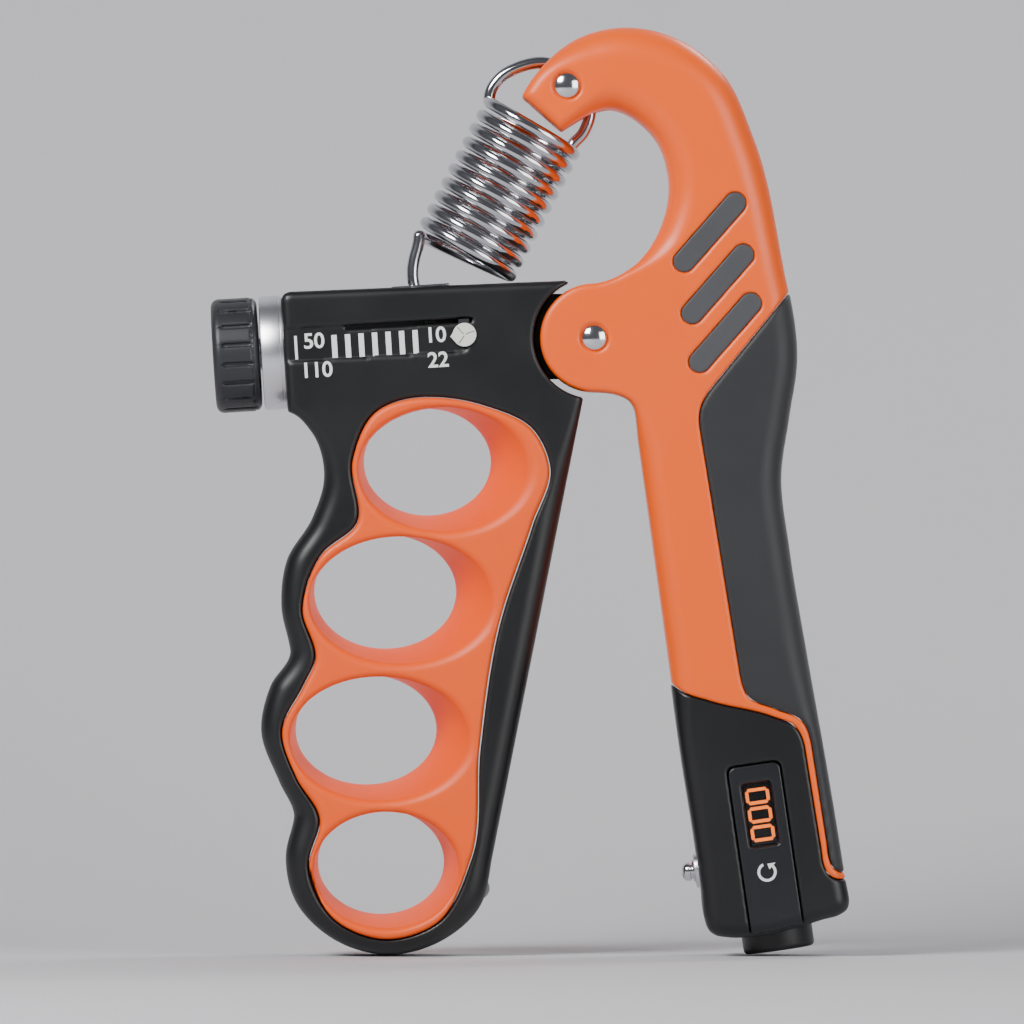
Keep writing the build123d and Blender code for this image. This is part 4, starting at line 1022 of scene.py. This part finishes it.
# =============================== load adjustment ===============================
@dataclass
class Adjuster:
    """Knob, collar, slot cover, load indicator, scale ticks and figures."""

    screw: Place = Place(-16.7, 115.03, 3.5)
    face_at: float = 29.2
    knob_r: float = 10.7
    collar: float = 4.3
    gap: float = 0.5
    knob_length: float = 8.6
    ribs: int = 18

    def build_knob(self) -> None:
        """Make the knob: a drum with lens-ended grooves along it and a rounded outer rim."""
        right = -(self.face_at + self.collar + self.gap)
        left, r, middle = right - self.knob_length, self.knob_r, right - self.knob_length * 0.47

        def drum(x: Array, y: Array, z: Array) -> Array:
            u, v = self.screw.local(x, z)
            radial = np.hypot(v, y)
            body = meet(radial - r, np.abs(u - (left + right) / 2) - self.knob_length / 2, 1.5)
            turn = np.arctan2(y, v)
            step = 2 * math.pi / self.ribs
            near = np.abs((turn + step / 2) % step - step / 2) * r
            width = 0.42 * np.clip((3.1 - np.abs(u - middle)) / 0.7, 0, 1)
            groove = np.maximum(near - width, r - 0.55 - radial)
            body = cut(body, groove, 0.15)
            return cut(body, np.maximum(np.abs(u - right + 1.15) - 0.12, r - 0.3 - radial), 0.08)
        a, b = self.screw.world(left, -r), self.screw.world(right, r)
        low = [min(a[0], b[0]) - 1.2, -r - 0.6, a[2] - 1.2]
        high = [max(a[0], b[0]) + 1.2, r + 0.6, b[2] + 1.2]
        piece = make_object("tension_knob_moulding", *skin(drum, low, high, 0.28))
        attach(piece, "tension_screw")
        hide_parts("tension_knob")
        dress(piece, KNOB_NYLON)
        LOG.info("built %s", piece.name)

    def build_collar(self) -> None:
        """Make the turned collar between the knob and the shell."""
        right, left, r = -self.face_at, -self.face_at - self.collar, self.knob_r
        profile = [(left, 8.2), (left, r - 0.35), (left + 0.1, r - 0.12), (left + 0.35, r), (right - 0.75, r),
                   (right - 0.7, r - 0.2), (right - 0.5, r - 0.2), (right - 0.45, r), (right - 0.1, r),
                   (right, r - 0.1), (right, 8.2)]
        piece = lathe("collar_ring_turned", profile, self.screw.world(0, 0), self.screw.along(), 128)
        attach(piece, "finger_handle")
        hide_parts("collar_ring")
        dress(piece, TURNED_STEEL)
        LOG.info("built %s", piece.name)

    def build_cover(self) -> None:
        """Make the bright slot cover that slides with the nut, slotted for the wire."""
        def plate(x: Array, y: Array, z: Array) -> Array:
            u, v = self.screw.local(x, z)
            body = meet(slab(u, np.abs(y), -8.45, 2.45, -1.0, 4.0), np.abs(v - 10.65) - 0.4, 0.25)
            return cut(body, slab(u, np.abs(y), -7.6, -2.8, -1.0, 1.4), 0.2)
        piece = make_object("slot_cover_polished", *skin(plate, [-26.5, -4.6, 123.0], [-13.0, 4.6, 127.5], 0.2))
        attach(piece, "slider")
        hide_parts("slot_cover")
        dress(piece, POLISHED_STEEL)
        LOG.info("built %s", piece.name)

    def build_indicator(self) -> None:
        """Make the white disc with its pointed left side, dress the indicator node and its arm in black nylon, and
        draw the disc's three moulded lines as thin grey marks of painted shade.
        """
        def disc(x: Array, y: Array, z: Array) -> Array:
            u, v = self.screw.local(x, z)
            flat = join(np.hypot(u - 4.7, v - 1.1) - 2.25, np.abs(u - 2.75) + np.abs(v - 0.9) * 1.2 - 0.75, 0.5)
            return meet(flat, np.abs(y + 12.05) - 0.3, 0.15)
        at = self.screw.world(4.7, 1.1)
        low, high = [at[0] - 3.4, -12.6, at[2] - 2.7], [at[0] + 2.8, -11.5, at[2] + 2.7]
        piece = make_object("load_indicator_disc", *skin(disc, low, high, 0.12))
        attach(piece, "slider")
        dress(piece, ACETAL)
        dress(bpy.data.objects["load_indicator"], KNOB_NYLON)
        # Painted shade: the three moulded lines are drawn as thin dark grey marks that stand in for the shade along
        # their relief.
        lines: List[Loop] = []
        curve = [(0.2 + 1.75 * t, 0.35 * t * (1 - t)) for t in np.linspace(0, 1, 8)]
        for angle in (15.0, 128.0, 232.0):
            c, s = math.cos(math.radians(angle)), math.sin(math.radians(angle))
            loop = [(a, b + 0.07) for a, b in curve] + [(a, b - 0.07) for a, b in curve[::-1]]
            lines.append([(a * c - b * s, a * s + b * c) for a, b in loop])
        marks = flat_mark("load_indicator_lines", lines, self.screw, (4.7, 1.1), -12.34, -12.37)
        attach(marks, "slider")
        dress(marks, GREY_INLAY_AND_PAINTED_SHADE)
        LOG.info("built %s", piece.name)

    def figure(self, name: str, text: str, at: Point, size: float, y: float) -> None:
        """Print plain figures on the shell.

        Args:
            name: object name.
            text: the figures.
            at: their middle, along and above the screw.
            size: cap height in millimetres.
            y: Y of the surface they are printed on.
        """
        curve = bpy.data.curves.new(name, "FONT")
        curve.body, curve.size = text, size * 1.38 * MM
        curve.align_x, curve.align_y = "CENTER", "CENTER"
        curve.extrude, curve.offset = 0.04 * MM, 0.07 * MM
        lettering = bpy.data.objects.new(name, curve)
        bpy.context.scene.collection.objects.link(lettering)
        mesh = bpy.data.meshes.new_from_object(lettering)
        bpy.data.objects.remove(lettering)
        raw = np.array([tuple(v.co) for v in mesh.vertices]) / MM
        turned = [self.screw.world(at[0] + p[0], at[1] + p[1], y - p[2]) for p in raw]
        faces = [list(p.vertices) for p in mesh.polygons]
        piece = make_object(name, np.array(turned), faces, rounded=False)
        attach(piece, "finger_handle")
        dress(piece, WHITE_INK)

    def build_marks(self) -> None:
        """Print the ticks, the end bar and the figures of the scale."""
        floor = -11.5
        ticks: List[Loop] = []
        for k in range(7):
            u, half_w, half_h = -19.7 + 2.53 * k, 0.5, 2.2
            ticks.append([(u - half_w, 0.35 - half_h), (u + half_w, 0.35 - half_h), (u + half_w, 0.35 + half_h),
                          (u - half_w, 0.35 + half_h)])
        ticks.append([(-27.15, -1.6), (-26.65, -1.6), (-26.65, 2.8), (-27.15, 2.8)])
        piece = flat_mark("scale_ticks_printed", ticks, self.screw, (0.0, 0.0), floor, floor - 0.06)
        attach(piece, "finger_handle")
        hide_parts("scale_marks")
        dress(piece, WHITE_INK)
        self.figure("figures_left_upper", "50", (-23.5, 1.55), 2.9, floor)
        self.figure("figures_left_lower", "110", (-23.3, -3.9), 2.9, -12.0)
        self.figure("figures_right_upper", "10", (-0.7, 1.3), 2.9, floor)
        self.figure("figures_right_lower", "22", (-0.5, -3.4), 2.9, -12.0)
        LOG.info("built the scale")

    def build(self) -> None:
        """Build and dress the whole load adjustment."""
        self.build_knob()
        self.build_collar()
        self.build_cover()
        self.build_indicator()
        self.build_marks()
        for node, finish in FINGER_NODES.items():
            dress(bpy.data.objects[node], finish)


# =============================== spring ===============================
@dataclass
class Spring:
    """One helical wire with a loop over the hook pin and a leg down to the slider pin."""

    start: Tuple[float, float, float] = (-7.5, 0.0, 160.3)
    along: Point = (-0.4617, -0.887)
    coil_r: float = 9.35
    wire_r: float = 1.14
    turns: int = 10
    pitch: float = 2.845
    pieces: int = 6

    def helix(self, turn: Array) -> Array:
        """Places along the coil, by turns from its upper left end."""
        right = np.array((-self.along[1], 0.0, self.along[0]))
        down = np.array((self.along[0], 0.0, self.along[1]))
        angle = 2 * math.pi * turn[:, None]
        place = np.array(self.start) + down * self.pitch * turn[:, None]
        return place + self.coil_r * ((1 - np.cos(angle)) * right - np.sin(angle) * np.array((0.0, 1.0, 0.0)))

    def build(self) -> None:
        """Build the loop, the six lengths of coil and the leg, each as one run of wire."""
        loop = smooth([(8.0, 151.9), (10.2, 154.4), (11.5, 158.4), (10.3, 162.7), (7.3, 165.9), (3.0, 167.6),
                       (-1.9, 166.8), (-5.6, 164.6), (-7.2, 162.2), (-7.5, 160.3)], (0.6, 1.0), (-0.1, -1.0))
        line = np.array([(x, 0.0, z) for x, z in loop])
        self.place("spring_loop_wire", line, "spring_head", None, "spring_top_eye")
        for k in range(self.pieces):
            share = np.array((k, k + 1)) / self.pieces * self.turns
            line = self.helix(np.linspace(share[0], share[1], int(72 * (share[1] - share[0])) + 1))
            before = "spring_head" if k == 0 else f"spring_length_{k}"
            self.place(f"spring_wire_{k + 1}", line, before, f"spring_length_{k + 1}", f"spring_coil_{k + 1}", k)
        end = self.helix(np.array([float(self.turns)]))[0]
        leg = smooth([(end[0], end[2]), (-20.85, 133.3), (-21.5, 130.9), (-21.85, 128.4), (-21.5, 125.5),
                      (-20.1, 122.6), (-17.9, 120.8), (-15.2, 120.2), (-12.9, 121.3)], (0.1, -1.0), (0.8, 0.9))
        line = np.array([(x, 0.0, z) for x, z in leg])
        self.place("spring_leg_wire", line, f"spring_length_{self.pieces}", None, "spring_lower_eye")
        LOG.info("built the spring from %d lengths", self.pieces + 2)

    def place(self, name: str, line: Array, body: str, after: Optional[str], node: str, k: int = 0) -> None:
        """Make one run of wire: hang it on one body, or, when it has a far end, leave it unparented where it lies.

        Args:
            name: object name.
            line: places along the wire.
            body: the body it rides on.
            after: the body at its far end, if any; then the wire is left unparented.
            node: the node that it stands for.
            k: which length of the coil it is; not used.
        """
        piece = wire(name, line, self.wire_r)
        if after:
            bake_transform(piece)
        else:
            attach(piece, body)
        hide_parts(node)
        dress(piece, SPRING_WIRE)


# =============================== studio ===============================
@dataclass
class Studio:
    """Pale sweep, soft lights and the camera that looks straight at the front."""

    target: Tuple[float, float] = (-3.19, 83.25)
    view_height: float = 192.0
    distance: float = 3000.0
    face: float = -5.0

    def camera(self) -> None:
        """Place the camera level with the object's middle."""
        data = bpy.data.cameras.new("front_camera")
        data.sensor_width = 36.0
        data.lens = 36.0 * self.distance / self.view_height
        data.clip_end = 20.0
        camera = bpy.data.objects.new("front_camera", data)
        camera.location = Vector((self.target[0], self.face - self.distance, self.target[1])) * MM
        camera.rotation_euler = (math.radians(90), 0, 0)
        bpy.context.scene.collection.objects.link(camera)
        bpy.context.scene.camera = camera

    def sweep(self) -> None:
        """Lay a pale floor that curves up into a wall."""
        profile = [(-2500.0, 0.0), (120.0, 0.0)]
        profile += [(120.0 + 260.0 * math.sin(a), 260.0 - 260.0 * math.cos(a)) for a in np.linspace(0.1, 1.5, 14)]
        profile += [(385.0, 1800.0)]
        corners = [(x, y, z) for y, z in profile for x in (-2500.0, 2500.0)]
        faces = [[2 * i, 2 * i + 1, 2 * i + 3, 2 * i + 2] for i in range(len(profile) - 1)]
        floor = make_object("studio_sweep", np.array(corners), faces)
        paper = Finish("studio_paper", "#C9C9CC", "#C3C3C6", 0.75, grain_mm=1.5, depth_mm=0.01, patch_mm=300.0)
        dress(floor, paper)

    def light(self, name: str, at: Sequence[float], size: Point, power: float) -> None:
        """Hang one soft box that points at the object's middle."""
        data = bpy.data.lights.new(name, "AREA")
        data.shape = "RECTANGLE"
        data.size, data.size_y = size[0] * MM, size[1] * MM
        data.energy = power
        lamp = bpy.data.objects.new(name, data)
        lamp.location = Vector(at) * MM
        look = Vector((0.0, 0.0, 0.09)) - lamp.location
        lamp.rotation_euler = look.to_track_quat("-Z", "Y").to_euler()
        bpy.context.scene.collection.objects.link(lamp)

    def build(self) -> None:
        """Set up floor and lights."""
        self.sweep()
        self.light("key_box", (-420.0, -520.0, 560.0), (320.0, 320.0), 8.0)
        self.light("fill_box", (620.0, -600.0, 260.0), (500.0, 500.0), 4.0)
        self.light("rim_box", (250.0, 420.0, 520.0), (300.0, 200.0), 5.0)
        world = bpy.data.worlds.new("studio_air")
        world.use_nodes = True
        world.node_tree.nodes["Background"].inputs["Color"].default_value = from_hex("#9A9CA2")
        world.node_tree.nodes["Background"].inputs["Strength"].default_value = 0.36
        bpy.context.scene.world = world


def main() -> None:
    """Build the object's visible pieces in order, then the studio."""
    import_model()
    studio = Studio()
    studio.camera()
    PalmHandle().build()
    FingerHandle().build()
    Adjuster().build()
    Spring().build()
    studio.build()


if __name__ == "__main__":
    logging.basicConfig(level=logging.INFO, format="%(message)s")
    main()
